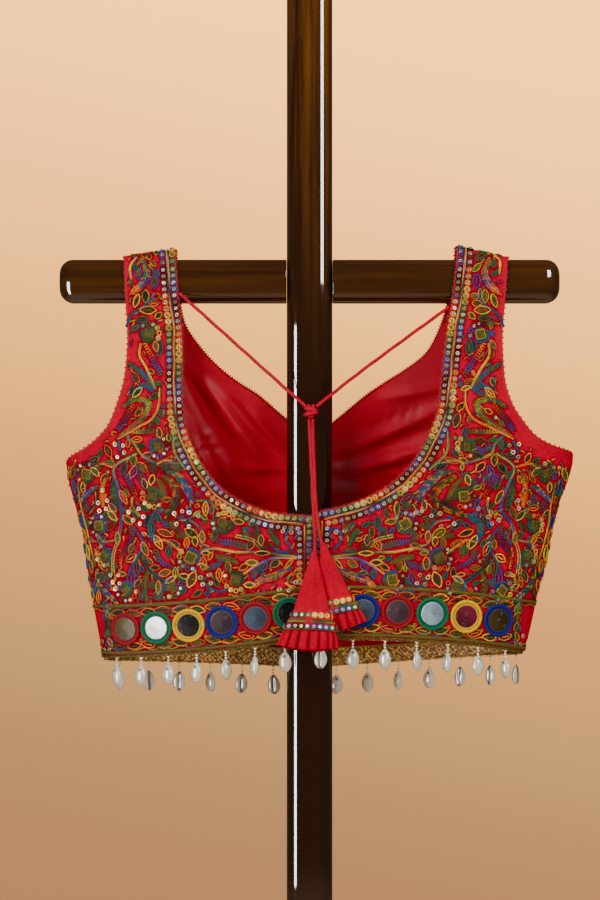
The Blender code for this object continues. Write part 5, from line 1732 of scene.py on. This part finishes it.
class CHOLI_OT_mirrors(bpy.types.Operator):
    """Sews on the mirrors in their rims of wrapped rope"""

    bl_idname = "choli.mirrors"
    bl_label = "Mirrors"

    def execute(self, context):
        chance = np.random.default_rng(5)
        for face in FACES:
            rims = {name: (Work(), []) for name in RIM_CYCLE}
            glass = Work()
            for side in SIDES:
                surface = MAPS[face, side]
                for k, (across, down) in enumerate(mirror_places(face, side)):
                    place = MIRRORS_EACH - 1 - k if side == "left" else MIRRORS_EACH + k
                    if face == "front":
                        place = 2 * MIRRORS_EACH - 1 - place
                    work, nodes = rims[RIM_CYCLE[place % len(RIM_CYCLE)]]
                    nodes.append(f"mirror_{face}_{side}_{k + 1}")
                    seat = MIRROR_SEAT + MIRROR_BRIDGE * (k / (MIRRORS_EACH - 1)) ** 2
                    for radius, rope, stand, shaded in MIRROR_ROPES:
                        self.rope(work, surface, across, down, radius, rope, seat + stand, shaded)
                    self.disc(glass, surface, across, down, seat, chance, GLASS_PAINTED_REFLECTIONS[place])
            for name, (work, nodes) in rims.items():
                made = work.object(f"{name}_{face}", name)
                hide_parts(*nodes)
            glass.object(f"mirror_glass_{face}", "glass")
        return {"FINISHED"}

    def rope(self, work, surface, across, down, radius, rope, seat, shaded):
        """One ring of wrapped rope round a mirror."""
        turn = np.linspace(0, math.tau, 64, endpoint=False)
        round_rope = np.linspace(0, math.tau, 8, endpoint=False)
        u, v = np.meshgrid(turn, round_rope, indexing="ij")
        reach = radius + rope * np.cos(v)
        lift = seat + rope * (1 + 0.9 * np.sin(v))
        points = surface.lifted(across + reach * np.cos(u), down + reach * np.sin(u), lift)
        # A shaded ring keeps the wrap value that gives the darkest colour: a ring of painted shade in the gap
        # between the ropes.
        wraps = np.full(u.shape, -math.pi / 2) if shaded else u * 76 + v
        work.grid(points, closed_rows=True, closed_columns=True, mark=wraps.ravel())

    def disc(self, work, surface, across, down, seat, chance, tone):
        """One mirror's glass, slightly tilted."""
        turn = np.linspace(0, math.tau, 40, endpoint=False)
        centre = surface.lifted(across, down, seat + 0.0011)
        normal = surface.normals(across, down)
        lean = unit(normal + chance.uniform(-0.05, 0.05, 3))
        u = unit(np.cross(lean, (0.0, 0.0, 1.0)))
        flat = np.outer(np.cos(turn), u) + np.outer(np.sin(turn), np.cross(lean, u))
        rings = [centre + reach * flat + lean * height for reach, height in GLASS_PROFILE]
        # The glass's colour is its painted reflection: lighter towards one side by a gradient, and brighter
        # at the edge rings as a painted highlight.
        shade = 1 + 0.30 * np.sin(turn + tone[0] * 40)
        pale = np.array(GLASS_PAINTED_HIGHLIGHT)
        colour = (pale[:, None, None] * (shade[:, None] * tone)).reshape(-1, 3)
        work.grid(np.array(rings), closed_columns=True, colour=np.clip(colour, 0, 1), flip=True)


class CHOLI_OT_edges(bpy.types.Operator):
    """Binds the neck and the armholes, and lays gold lace inside the hem"""

    bl_idname = "choli.edges"
    bl_label = "Bindings and lace"

    def execute(self, context):
        for (face, side), surface in MAPS.items():
            piping, picots = Work(), Work()
            for end in (0, 2):
                last = (NECK_ROW[face] if end == 0 else UNDERARM_ROW) - 0.03
                line = edge_line(face, side, end, np.linspace(0, last, 220), 0.0008)
                line = even_steps(line, 0.002)
                points = surface.lifted(line[:, 0], line[:, 1], np.full(len(line), -SHELL_THICK * 0.45))
                tube(piping, points, PIPING_RADIUS, 8)
                spots = even_steps(line, PICOT_STEP)
                centres = surface.lifted(spots[:, 0], spots[:, 1], np.full(len(spots), -SHELL_THICK * 0.45))
                edge = edge_line(face, side, end, np.linspace(0, last, 220), -0.0012)
                edge = even_steps(edge, PICOT_STEP)
                outs = surface.lifted(edge[:, 0], edge[:, 1], np.full(len(edge), -SHELL_THICK * 0.45))
                for k in range(min(len(centres), len(outs))):
                    shade = THREADS["brick" if face == "front" or k % 3 else "olive"]
                    if face == "back" and end == 2 and k % 2:
                        continue
                    ball(picots, outs[k] * 0.75 + centres[k] * 0.25, (0.0007, 0.0006, 0.0007), 6, 4, shade)
            made = piping.object(f"edge_binding_{face}_{side}", "cord")
            picots.object(f"edge_picots_{face}_{side}", "thread")
            self.lace(face, side, surface)
        return {"FINISHED"}

    def lace(self, face, side, surface):
        """The strip of lace that hangs a little below a panel's hem."""
        under = SHELL_THICK + GAP if face == "back" else SHELL_THICK + LINING_THICK + 2 * GAP
        top = LACE_ROW if face == "back" else LACE_ROW - 0.06
        across, down = panel_places(face, side, np.array([top, (top + HEM_ROW) / 2, HEM_ROW]), 90)
        scallop = 0.0006 * np.abs(np.sin(np.arange(90) * 0.9))
        across = np.vstack([across, across[-1:]])
        down = np.vstack([down, down[-1:] + LACE_BELOW_HEM + scallop])
        outer = surface.lifted(across, down, np.full(across.shape, -under))
        inner = surface.lifted(across, down, np.full(across.shape, -under - LACE_THICK))
        made = wall_object(f"gold_lace_{face}_{side}", outer, inner, "lace")
        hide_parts(f"hem_lace_{face}_{side}")
        edge = Work()
        for row, lift in ((0, -under - LACE_THICK), (-1, -under - LACE_THICK / 2)):
            line = surface.lifted(across[row], down[row], np.full(across.shape[1], lift))
            swell = 0.00065 * (1 + 0.25 * np.sin(np.arange(across.shape[1]) * 1.9))
            tube(edge, line, swell, 6)
        if face == "front":
            edge.object(f"gold_lace_edge_{face}_{side}", "gold")


# how far each shell is turned about its strand, from the centre outwards
COWRIE_TURNS = {
    ("back", "left"): (0.1, 1.0, -0.9, 0.35, 0.1, 0.0, 0.3),
    ("back", "right"): (3.2, 0.1, 0.5, -0.9, 1.3, 0.0, 1.4),
    ("front", "left"): (0.2, 3.2, 3.0, 0.9, 3.3, 2.9, 1.5),
    ("front", "right"): (0.0, 0.2, 1.0, 0.3, 3.5, 3.6, 1.1),
}


class CHOLI_OT_fringe(bpy.types.Operator):
    """Hangs the cowries under the hem on strands of beads"""

    bl_idname = "choli.fringe"
    bl_label = "Cowrie fringe"

    def execute(self, context):
        chance = np.random.default_rng(17)
        for (face, side), surface in MAPS.items():
            shells, beads, loops, tapes = Work(), Work(), Work(), Work()
            hem_across, hem = panel_places(face, side, np.array([HEM_ROW]), 80)
            tape = surface.lifted(hem_across[0], hem[0] + TAPE_BELOW_HEM, np.full(80, -SHELL_THICK / 2))
            tube(tapes, tape, TAPE_RADIUS, 6, THREADS["olive"] * 0.8)
            for k in range(COWRIES_EACH):
                first, pitch = COWRIE_PLACES[face][side]
                across = first + pitch * k
                down = hem_at(face, side, across)
                root = surface.lifted(across, down + TAPE_BELOW_HEM, -SHELL_THICK / 2)
                outward = surface.normals(across, down)
                outward[2] = 0
                outward = unit(outward)
                strand = STRAND_LENGTH[face]
                count = int((strand - BARE_STRAND) / BEAD_PITCH)
                for n in range(count):
                    below = 0.0010 + (strand - BARE_STRAND) * (n + 0.5) / count
                    ball(beads, root - np.array((0, 0, below)), BEAD_RADII, 8, 6)
                turned = COWRIE_TURNS[face, side][k] + (0.0 if face == "back" else math.pi)
                self.cowrie(shells, root - np.array((0, 0, strand)), outward, chance, turned)
                arc = np.linspace(0, math.pi, 9)
                side_way = np.array((-outward[1], outward[0], 0.0))
                sag = np.outer(np.sin(arc) * 0.0016, (0, 0, 1))
                loop = root + np.outer(np.cos(arc) * 0.0022, side_way) - sag
                tube(loops, loop, 0.00045, 5)
            made = shells.object(f"cowries_{face}_{side}", "shell")
            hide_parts(f"cowrie_fringe_{face}_{side}")
            beads.object(f"strand_beads_{face}_{side}", "pearl")
            loops.object(f"fringe_loops_{face}_{side}", "gold")
            tapes.object(f"fringe_tape_{face}_{side}", "thread")
        return {"FINISHED"}

    def cowrie(self, work, top, outward, chance, turned):
        """One shell, turned about its strand: 0 shows its dome and half a turn shows its toothed slit."""
        rows, columns = 20, 30
        s = np.linspace(0.0, 1.0, rows)[:, None]
        turn = np.linspace(0, math.tau, columns, endpoint=False)[None]
        turn = turn + 0.35 * np.sin(2 * turn)  # closer round the slit and the crown
        girth = np.clip(np.sin(math.pi * (0.03 + 0.94 * s)), 0, 1) ** 0.60 * (0.84 + 0.26 * s)
        wide = COWRIE_HALF_WIDTH * girth * np.cos(turn)
        domed = np.where(np.sin(turn) > 0, 1.0, 0.55)
        deep = COWRIE_HALF_DEPTH * girth * np.sin(turn) * domed
        flat = np.sin(turn) < 0
        slit = np.exp(-(((wide - 0.0006 * np.sin(math.pi * s)) / 0.00125) ** 2)) * flat
        deep = deep + 0.0014 * slit * np.sin(math.pi * s)
        teeth = (np.sin(s * 62) > 0) * np.exp(-((wide / 0.0022) ** 2)) * flat
        deep = deep - 0.00025 * teeth
        c, n = math.cos(turned), math.sin(turned)
        across = wide * c - deep * n
        out = wide * n + deep * c
        side_way = np.array((-outward[1], outward[0], 0.0))
        swing = chance.uniform(-0.06, 0.06)
        along = s * COWRIE_LENGTH + 0 * turn
        points = (
            top + across[..., None] * side_way + out[..., None] * outward
            - along[..., None] * np.array((0, 0, 1.0)) + (along * swing)[..., None] * side_way
        )
        ivory = np.array((0.56, 0.54, 0.46)) * chance.uniform(0.8, 1.15)
        colour = np.broadcast_to(ivory, (rows, columns, 3)).copy()
        reach = np.hypot(wide / COWRIE_HALF_WIDTH, (s - 0.5) * 2.1) + 0 * turn
        ring = (np.exp(-(((reach - 0.62) / 0.09) ** 2)) * ~flat * chance.uniform(0.3, 0.9))[..., None]
        colour = colour * (1 - ring) + np.array((0.72, 0.42, 0.06)) * ring
        crown = (np.exp(-((reach / 0.50) ** 2)) * ~flat * chance.uniform(0.15, 0.6))[..., None]
        colour = colour * (1 - crown) + np.array((0.46, 0.45, 0.40)) * crown
        # Darker towards both sides of the shell, where it curves away: painted shade.
        side_shade = np.clip(np.abs(wide) / COWRIE_HALF_WIDTH * 1.6 - 0.9, 0, 1)[..., None] * 0.45
        colour = colour * (1 - side_shade) + np.array((0.42, 0.36, 0.26)) * side_shade
        # A dark spot for the hole near the top of the dome: painted shade in a hole that is not modelled.
        hole_shade = (np.exp(-((np.hypot(wide, (s - 0.20) * COWRIE_LENGTH) / 0.0013) ** 4)) * ~flat)[..., None]
        colour = colour * (1 - hole_shade) + 0.02 * hole_shade
        # The slit and alternate bands along its teeth are painted dark: painted shade in the aperture and
        # between the teeth.
        dark = np.clip(slit * 1.3 + teeth * 0.25, 0, 1)[..., None]
        colour = colour * (1 - 0.95 * dark) + np.array((0.05, 0.03, 0.02)) * 0.95 * dark
        work.grid(points, closed_columns=True, colour=colour.reshape(-1, 3), flip=True)
        work.caps(rows, columns, flip=True)


PLEATS = 16
# level on the tassel, how far in the outer and the inner face lie there, depth of the pleats, and their sag
RUFFLE_LEVELS = (
    (1.72, 0.0017, 0.0026, 0.0, 0.0),
    (2.0, 0.0017, 0.0026, 0.0003, 0.0),
    (2.1, 0.0004, 0.0012, 0.0012, 0.0005),
    (2.4, 0.0, 0.0008, 0.0020, 0.0015),
    (2.7, 0.0, 0.0008, 0.0027, 0.0025),
    (3.0, 0.0, 0.0008, 0.0033, 0.0035),
)
# levels of the cone's outer face, down to the foot, and of its inner face, up again
CONE_OUTER = (0.0, 0.02, 0.1, 0.25, 0.4, 0.55, 0.7, 0.85, 1.0, 1.2, 1.4, 1.6, 1.8, 2.0)
CONE_INNER, CONE_THICK = (2.0, 1.5, 1.0, 0.5, 0.2), 0.001


def in_world(place):
    """A point of the scene, from x off the centre line, y, and the distance down from the arms."""
    x, y, down = place
    return np.array((CENTRE_X + x, y, ARM_HEIGHT - down))


class CHOLI_OT_dori(bpy.types.Operator):
    """Ties the twisted neck cord, with its knot and its tails"""

    bl_idname = "choli.dori"
    bl_label = "Dori cord"

    def execute(self, context):
        self.knot()
        for name, route in DORI_ROUTES.items():
            places = np.array([in_world(p) for p in route])
            side = name.rsplit("_", 1)[1]
            tail = name.startswith("dori_tail")
            if tail:  # it runs on down inside the cone, whose stuffing it holds
                tip, waist = (in_world(row[0]) for row in TASSELS[side][:2])
                places = np.vstack([places, tip + (waist - tip) * 0.3, tip + (waist - tip) * CORD_IN_CONE])
            lengths = length_along(places)
            count = max(8, int(lengths[-1] / 0.0016))
            at = np.linspace(0, lengths[-1], count)
            line = np.stack([through(lengths, places[:, k], at) for k in range(3)], 1)
            if tail:  # the two hang against one another
                lean = 0.0009 * np.sin(math.pi * np.linspace(0, 1, count)) ** 0.5
                line[:, 0] += lean if side == "left" else -lean
            made = self.twisted(name, line)
            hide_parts(name)
        return {"FINISHED"}

    def twisted(self, name, line):
        """Three plies laid round a core."""
        work = Work()
        a, b = tube_frames(line)
        along = length_along(line)
        tube(work, line, DORI_RADIUS * CORE_SHARE, 8)
        for k in range(PLIES):
            turn = along / PLY_TURN * math.tau + k * math.tau / PLIES
            out = a * np.cos(turn)[:, None] + b * np.sin(turn)[:, None]
            tube(work, line + out * DORI_RADIUS * PLY_OUT_SHARE, DORI_RADIUS * PLY_SHARE, 7)
        return work.object(f"cord_{name}", "cord")

    def knot(self):
        """The tie: two turns round the cords and the loops behind them."""
        work = Work()
        centre = in_world(KNOT_CENTRE)
        turn = np.linspace(0, math.tau, 25)
        rx, ry, rz = KNOT_HALF
        for shift, tilt, size in ((-0.0019, 0.16, 1.06), (0.0018, -0.22, 1.00)):
            line = centre + np.stack([
                (rx - 0.0014) * size * np.cos(turn), (ry - 0.0014) * size * np.sin(turn),
                shift + tilt * 0.006 * np.cos(turn),
            ], 1)
            tube(work, line, 0.0019, 10)
        for x, lean in ((-0.0014, 0.20), (0.0016, -0.15)):
            line = centre + np.stack([
                x + lean * 0.004 * np.linspace(-1, 1, 15),
                -0.0008 * np.cos(np.linspace(-1.2, 1.2, 15)) * 2, np.linspace(rz - 0.001, -rz + 0.001, 15),
            ], 1)
            tube(work, line, 0.0014, 8)
        ball(work, centre, (rx * 0.72, ry * 0.72, rz * 0.72), 12, 8)
        made = work.object("cord_dori_knot", "cord")
        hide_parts("dori_knot")


class CHOLI_OT_tassels(bpy.types.Operator):
    """Makes the two tassels: a felt cone, two rows of ringed sequins and a pleated ruffle"""

    bl_idname = "choli.tassels"
    bl_label = "Tassels"

    def execute(self, context):
        for side in TASSELS:
            self.cone(side)
            self.ruffle(side)
            self.trim(side)
        return {"FINISHED"}

    def level(self, side, share):
        """Centre, half width and half depth at a level: 0 tip, 1 waist, 2 foot, 3 hem."""
        table = TASSELS[side]
        k = min(int(share), 2)
        part = share - k
        low, high = table[k], table[k + 1]
        centre = in_world(low[0]) * (1 - part) + in_world(high[0]) * part
        return centre, low[1] + (high[1] - low[1]) * part, low[2] + (high[2] - low[2]) * part

    def directions(self, side):
        """Directions across a tassel, through it and down it."""
        table = TASSELS[side]
        axis = unit(in_world(table[2][0]) - in_world(table[0][0]))
        across = unit(np.array((-axis[2], 0.0, axis[0])))
        return across, np.cross(axis, across), axis

    def ring(self, side, share, turn, inside=0.0, reach=0.0, sag=0.0):
        """Points round a tassel at a level."""
        centre, half_across, half_deep = self.level(side, share)
        across, deep, axis = self.directions(side)
        out = np.asarray(reach)
        return (
            centre + np.outer((half_across - inside + out) * np.cos(turn), across)
            + np.outer((half_deep - inside + out) * np.sin(turn), deep)
            + np.outer(sag * np.sin(turn) ** 2, axis)
        )

    def cone(self, side):
        """The hollow felt cone of one tassel."""
        turn = np.linspace(0, math.tau, 48, endpoint=False)
        ripple = 0.0008 * np.sin(turn * 4 + 1) + 0.0005 * np.sin(turn * 7 + 2.4)
        swells = [min(s, 1) * (1 if s < 1.9 else 0.4) for s in CONE_OUTER]
        rings = [self.ring(side, s, turn, 0.0, ripple * swell) for s, swell in zip(CONE_OUTER, swells)]
        rings += [self.ring(side, s, turn, CONE_THICK) for s in CONE_INNER]
        work = Work()
        work.grid(np.array(rings), closed_columns=True, flip=True)
        work.caps(len(rings), len(turn), flip=True)
        made = work.object(f"cone_{side}", "felt")
        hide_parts(f"tassel_cone_{side}")
        outer = np.array(rings[:len(CONE_OUTER)])
        area = grid_area(np.concatenate([outer, outer[:, :1]], axis=1))

    def ruffle(self, side):
        """The pleated ruffle under one cone."""
        count = 480
        turn = np.linspace(0, math.tau, count, endpoint=False)
        saw = (turn / math.tau * PLEATS) % 1.0
        fold = np.where(saw < 0.78, saw / 0.78, (1 - saw) / 0.22)
        pleat = fold - 0.75
        outer, inner = np.array([
            [self.ring(side, level, turn, inside[k], depth * pleat, sag)
             for level, *inside, depth, sag in RUFFLE_LEVELS]
            for k in (0, 1)
        ])
        work = Work()
        work.grid(np.concatenate([outer, inner[::-1]]), closed_rows=True, closed_columns=True, flip=True)
        made = work.object(f"ruffle_{side}", "felt", smooth=False)
        # The hollows of the pleats are painted darker in the felt: painted shade.
        depths = np.repeat((0.0, 0.3, 0.8, 1.0, 1.0, 0.8, 1.0, 1.0, 1.0, 0.8, 0.3, 0.0), count)
        hollow = np.tile(np.clip(1 - fold * 2.2, 0, 1), 12) * depths
        made.data.attributes.new("stitched", "FLOAT", "POINT").data.foreach_set("value", hollow)
        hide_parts(f"tassel_ruffle_{side}")
        area = grid_area(np.concatenate([outer, outer[:, :1]], axis=1))

    def trim(self, side):
        """Two rows of ringed sequins round the foot of the cone, with a chain line between."""
        threads, sequins = Work(), Work()
        chance = np.random.default_rng(3 if side == "left" else 4)
        _, _, axis = self.directions(side)
        for share, first in ((1.22, 0), (1.86, 5)):
            _, half, deep = self.level(side, share)
            dense = np.linspace(0, math.tau, 400)
            outline = self.ring(side, share, dense, 0.0, 0.0007)
            lengths = length_along(outline)
            count = int(lengths[-1] / 0.0052)
            for k in range(count):
                turn = np.interp(lengths[-1] * k / count, lengths, dense)
                near = self.ring(side, share, np.array([turn - 0.02, turn, turn + 0.02]), 0.0, 0.0008)
                run = unit(near[2] - near[0])
                out = unit(np.cross(run, axis))
                if out @ (near[1] - self.level(side, share)[0]) < 0:
                    out = -out
                around = np.linspace(0, math.tau, 13)
                ring = near[1] + 0.0021 * (np.outer(np.cos(around), run) + np.outer(np.sin(around), axis))
                shade = THREADS[RING_CYCLE[(first + k // 2 * 2) % len(RING_CYCLE)]]
                tube(threads, ring, 0.00065, 5, shade)
                lean = unit(out + chance.uniform(-0.25, 0.25, 3))
                pale = np.array(TASSEL_FOIL) * chance.uniform(0.5, 1.2)
                pierced_cup(sequins, near[1] + out * 0.0003, lean, axis, 0.0015, TASSEL_SEQUIN, pale)
        turn = np.linspace(0, math.tau, 120)
        chains = ((1.50, ("green", "pine")), (1.58, ("lime", "green")), (2.02, ("olive", "brown")))
        for share, shades in chains:
            line = self.ring(side, share, turn, 0.0, 0.0006)
            tube(threads, line, 0.0006, 5, blended(shades * 3, 120))
        threads.object(f"tassel_threads_{side}", "thread")
        sequins.object(f"tassel_sequins_{side}", "sequin")


def rounded_square(half, corner, each=10):
    """Points round a square with arcs for corners."""
    points = []
    for k in range(4):
        middle = k * math.pi / 2 + math.pi / 4
        centre = (half - corner) * math.sqrt(2) * heading(middle)
        turn = middle + np.linspace(-math.pi / 4, math.pi / 4, each)
        points += list(centre + corner * circle(turn))
    return np.array(points)


def rounded_bar(name, box, axis, finish, corner, nose):
    """A lacquered square bar along an axis. Its two ends are rounded by the two lengths of nose."""
    low, high = (np.array(c) for c in box)
    others = [k for k in range(3) if k != axis]
    half = (high - low)[others[0]] / 2
    middle = (low + high) / 2
    rings = []
    for end, (start, way) in enumerate(((low[axis], 1), (high[axis], -1))):
        arc = np.linspace(0, math.pi / 2, 9) if end == 0 else np.linspace(math.pi / 2, 0, 9)
        for t in arc:
            inset = nose[end] * (1 - math.sin(t))
            at = start + way * nose[end] * (1 - math.cos(t))
            flat = rounded_square(half - inset, max(corner - inset * 0.5, 0.003))
            ring = np.empty((len(flat), 3))
            ring[:, axis] = at
            ring[:, others[0]] = middle[others[0]] + flat[:, 0]
            ring[:, others[1]] = middle[others[1]] + flat[:, 1]
            rings.append(ring)
    work = Work()
    work.grid(np.array(rings), closed_columns=True, flip=True)
    work.caps(len(rings), len(rings[0]), flip=True)
    return work.object(name, finish)


class CHOLI_OT_stand(bpy.types.Operator):
    """Shapes the stand's round-edged bars in dark polished wood"""

    bl_idname = "choli.stand"
    bl_label = "Stand"

    def execute(self, context):
        for name, axis, finish, nose in (
            ("stand_post", 2, "wood_upright", (0.0005, 0.011)),
            ("stand_arm_left", 0, "wood_level", (0.012, 0.0005)),
            ("stand_arm_right", 0, "wood_level", (0.0005, 0.012)),
        ):
            made = rounded_bar(f"wood_{name}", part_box(name), axis, finish, 0.0125, nose)
            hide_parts(name)
        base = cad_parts["stand_base"]
        base.data.materials.clear()
        base.data.materials.append(finish_named("wood_level"))
        return {"FINISHED"}


# rise of the line of sight, and the light of the graduated backdrop along it
BACKDROP_LIGHT = (
    (-0.300, (0.52, 0.260, 0.105)), (-0.158, (0.64, 0.295, 0.115)), (-0.128, (0.67, 0.330, 0.120)),
    (-0.092, (0.85, 0.430, 0.145)), (-0.055, (1.12, 0.500, 0.145)), (-0.026, (1.35, 0.560, 0.155)),
    (0.007, (1.75, 0.740, 0.170)), (0.044, (2.20, 0.950, 0.200)), (0.084, (2.60, 1.150, 0.275)),
    (0.121, (3.10, 1.400, 0.320)), (0.158, (3.60, 1.620, 0.380)),
)
BACKDROP_STRENGTH, BACKDROP_SIDEWAYS = 3.6, 0.2
ROOM_LIGHT, ROOM_STRENGTH = (1.0, 0.82, 0.64), 0.12
FLOOR_RADIUS = 1.2
CAMERA_PLACE, CAMERA_LENS, SENSOR_WIDTH = (-0.0084, -2.4, 0.600), 109.1, 36.0
# name, place, aim, width, height, watts, colour, whether it lights the cloth or else shows in the gloss
LIGHTS = (
    ("key", (-1.2, -2.2, 1.55), (0.0, 0.0, 0.52), 1.3, 1.3, 78.0, (1.0, 0.97, 0.94), True),
    ("fill", (1.5, -2.1, 0.55), (0.0, 0.0, 0.50), 1.3, 1.5, 44.0, (1.0, 0.98, 0.96), True),
    ("top", (0.0, -0.3, 2.2), (0.0, 0.05, 0.5), 1.4, 0.8, 14.0, (1.0, 0.97, 0.94), True),
    ("box_left", (-0.65, -0.62, 0.40), (0.0, 0.0, 0.40), 0.30, 0.76, 36.0, (1, 1, 1), False),
    ("box_right", (0.665, -1.02, 1.10), (0.0, 0.0, 1.10), 0.45, 0.46, 28.0, (1, 1, 1), False),
    ("rear_left", (-1.3, 2.2, 1.20), (0.0, 0.0, 0.55), 1.3, 1.4, 40.0, (1.0, 0.97, 0.94), True),
    ("rear_right", (1.4, 2.0, 0.80), (0.0, 0.0, 0.55), 1.2, 1.4, 30.0, (1.0, 0.98, 0.96), True),
)


class CHOLI_OT_stage(bpy.types.Operator):
    """Sets the camera, the lights, a soft room and a pale floor"""

    bl_idname = "choli.stage"
    bl_label = "Stage"

    def execute(self, context):
        scene = context.scene
        self.floor(context)
        lens = bpy.data.cameras.new("camera")
        lens.lens, lens.sensor_width = CAMERA_LENS, SENSOR_WIDTH
        camera = bpy.data.objects.new("camera", lens)
        camera.location = CAMERA_PLACE
        camera.rotation_euler = (math.pi / 2, 0.0, 0.0)
        scene.collection.objects.link(camera)
        scene.camera = camera
        for name, place, aim, width, height, watts, colour, on_cloth in LIGHTS:
            lamp = bpy.data.lights.new(name, "AREA")
            lamp.shape = "RECTANGLE"
            lamp.size, lamp.size_y = width, height
            lamp.energy, lamp.color = watts, colour
            holder = bpy.data.objects.new(name, lamp)
            holder.location = place
            holder.visible_diffuse, holder.visible_glossy = on_cloth, not on_cloth
            holder.visible_camera = False
            way = np.array(aim) - np.array(place)
            tilt = math.atan2(math.hypot(way[0], way[1]), -way[2])
            holder.rotation_euler = (tilt, 0.0, math.atan2(way[1], way[0]) - math.pi / 2)
            scene.collection.objects.link(holder)
        self.room(scene)
        return {"FINISHED"}

    def room(self, scene):
        """The world: a weak even light, and a graduated backdrop that the camera alone sees."""
        world = bpy.data.worlds.new("soft_room")
        world.use_nodes = True
        room = NodeTree(world.node_tree)
        even, output = room.tree.nodes["Background"], room.tree.nodes["World Output"]
        room.feed(even.inputs["Color"], ROOM_LIGHT)
        room.feed(even.inputs["Strength"], ROOM_STRENGTH)
        sight = room.node("ShaderNodeTexCoord", {}, {}, "Generated")
        sideways, rise = (room.node("ShaderNodeSeparateXYZ", {}, {0: sight}, axis) for axis in (0, 2))
        low, high = BACKDROP_LIGHT[0][0], BACKDROP_LIGHT[-1][0]
        span = {"Value": sideways * BACKDROP_SIDEWAYS + rise, "From Min": low, "From Max": high}
        ramp = room.node("ShaderNodeValToRGB", {}, {0: room.node("ShaderNodeMapRange", {}, span, "Result")})
        stops = ramp.socket.node.color_ramp.elements
        for k, (height, shade) in enumerate(BACKDROP_LIGHT):
            stop = stops[k] if k < 2 else stops.new(1.0)
            stop.position = (height - low) / (high - low)
            stop.color = (*(c / BACKDROP_STRENGTH for c in shade), 1.0)
        backdrop = room.node("ShaderNodeBackground", {}, {"Color": ramp, "Strength": BACKDROP_STRENGTH})
        seen = room.node("ShaderNodeLightPath", {}, {}, "Is Camera Ray")
        both = room.node("ShaderNodeMixShader", {}, {0: seen, 1: Link(room, even.outputs[0]), 2: backdrop})
        room.feed(output.inputs["Surface"], both)
        scene.world = world

    def floor(self, context):
        """A round pale floor that fades out towards its edge."""
        turn = np.linspace(0, math.tau, 96, endpoint=False)
        rings = [
            np.column_stack([radius * circle(turn), np.full(len(turn), -0.0005)])
            for radius in FLOOR_RADIUS * np.array((0.001, 0.25, 0.5, 0.75, 1.0))
        ]
        work = Work()
        work.grid(np.array(rings), closed_columns=True)
        mesh = bpy.data.meshes.new("floor")
        mesh.from_pydata(np.vstack(work.points).tolist(), [], work.faces)
        finish = Finish("pale_floor", Roughness=0.9, Specular_IOR_Level=0.0)
        finish.set("Base Color", (*context.scene.choli_colours.floor, 1.0))
        x, y = finish.along(0), finish.along(1)
        away = (x * x + y * y) * (1 / FLOOR_RADIUS ** 2)
        finish.set("Alpha", (1.15 - away * 1.25).clamped())
        mesh.materials.append(finish.material)
        floor = bpy.data.objects.new("floor", mesh)
        context.scene.collection.objects.link(floor)


class CHOLI_PT_panel(bpy.types.Panel):
    """Lists the makers and what they read"""

    bl_idname = "CHOLI_PT_panel"
    bl_label = "Choli"
    bl_space_type = "VIEW_3D"
    bl_region_type = "UI"
    bl_category = "Choli"

    def draw(self, context):
        for group in (context.scene.choli_sizes, context.scene.choli_colours):
            for name in group.__annotations__:
                self.layout.prop(group, name)
        for maker in MAKERS:
            self.layout.operator(maker.bl_idname, text=maker.bl_label)


GROUPS = (CholiSizes, CholiColours)
MAKERS = (
    CHOLI_OT_stage, CHOLI_OT_stand, CHOLI_OT_panels, CHOLI_OT_lining, CHOLI_OT_embroidery, CHOLI_OT_mirrors,
    CHOLI_OT_edges, CHOLI_OT_fringe, CHOLI_OT_tassels, CHOLI_OT_dori,
)


def register():
    for kind in (*GROUPS, *MAKERS, CHOLI_PT_panel):
        bpy.utils.register_class(kind)
    bpy.types.Scene.choli_sizes = bpy.props.PointerProperty(type=CholiSizes)
    bpy.types.Scene.choli_colours = bpy.props.PointerProperty(type=CholiColours)


def unregister():
    del bpy.types.Scene.choli_colours
    del bpy.types.Scene.choli_sizes
    for kind in reversed((*GROUPS, *MAKERS, CHOLI_PT_panel)):
        bpy.utils.unregister_class(kind)


def main():
    register()
    for maker in MAKERS:
        group, name = maker.bl_idname.split(".")
        getattr(getattr(bpy.ops, group), name)()


if __name__ == "__main__":
    main()
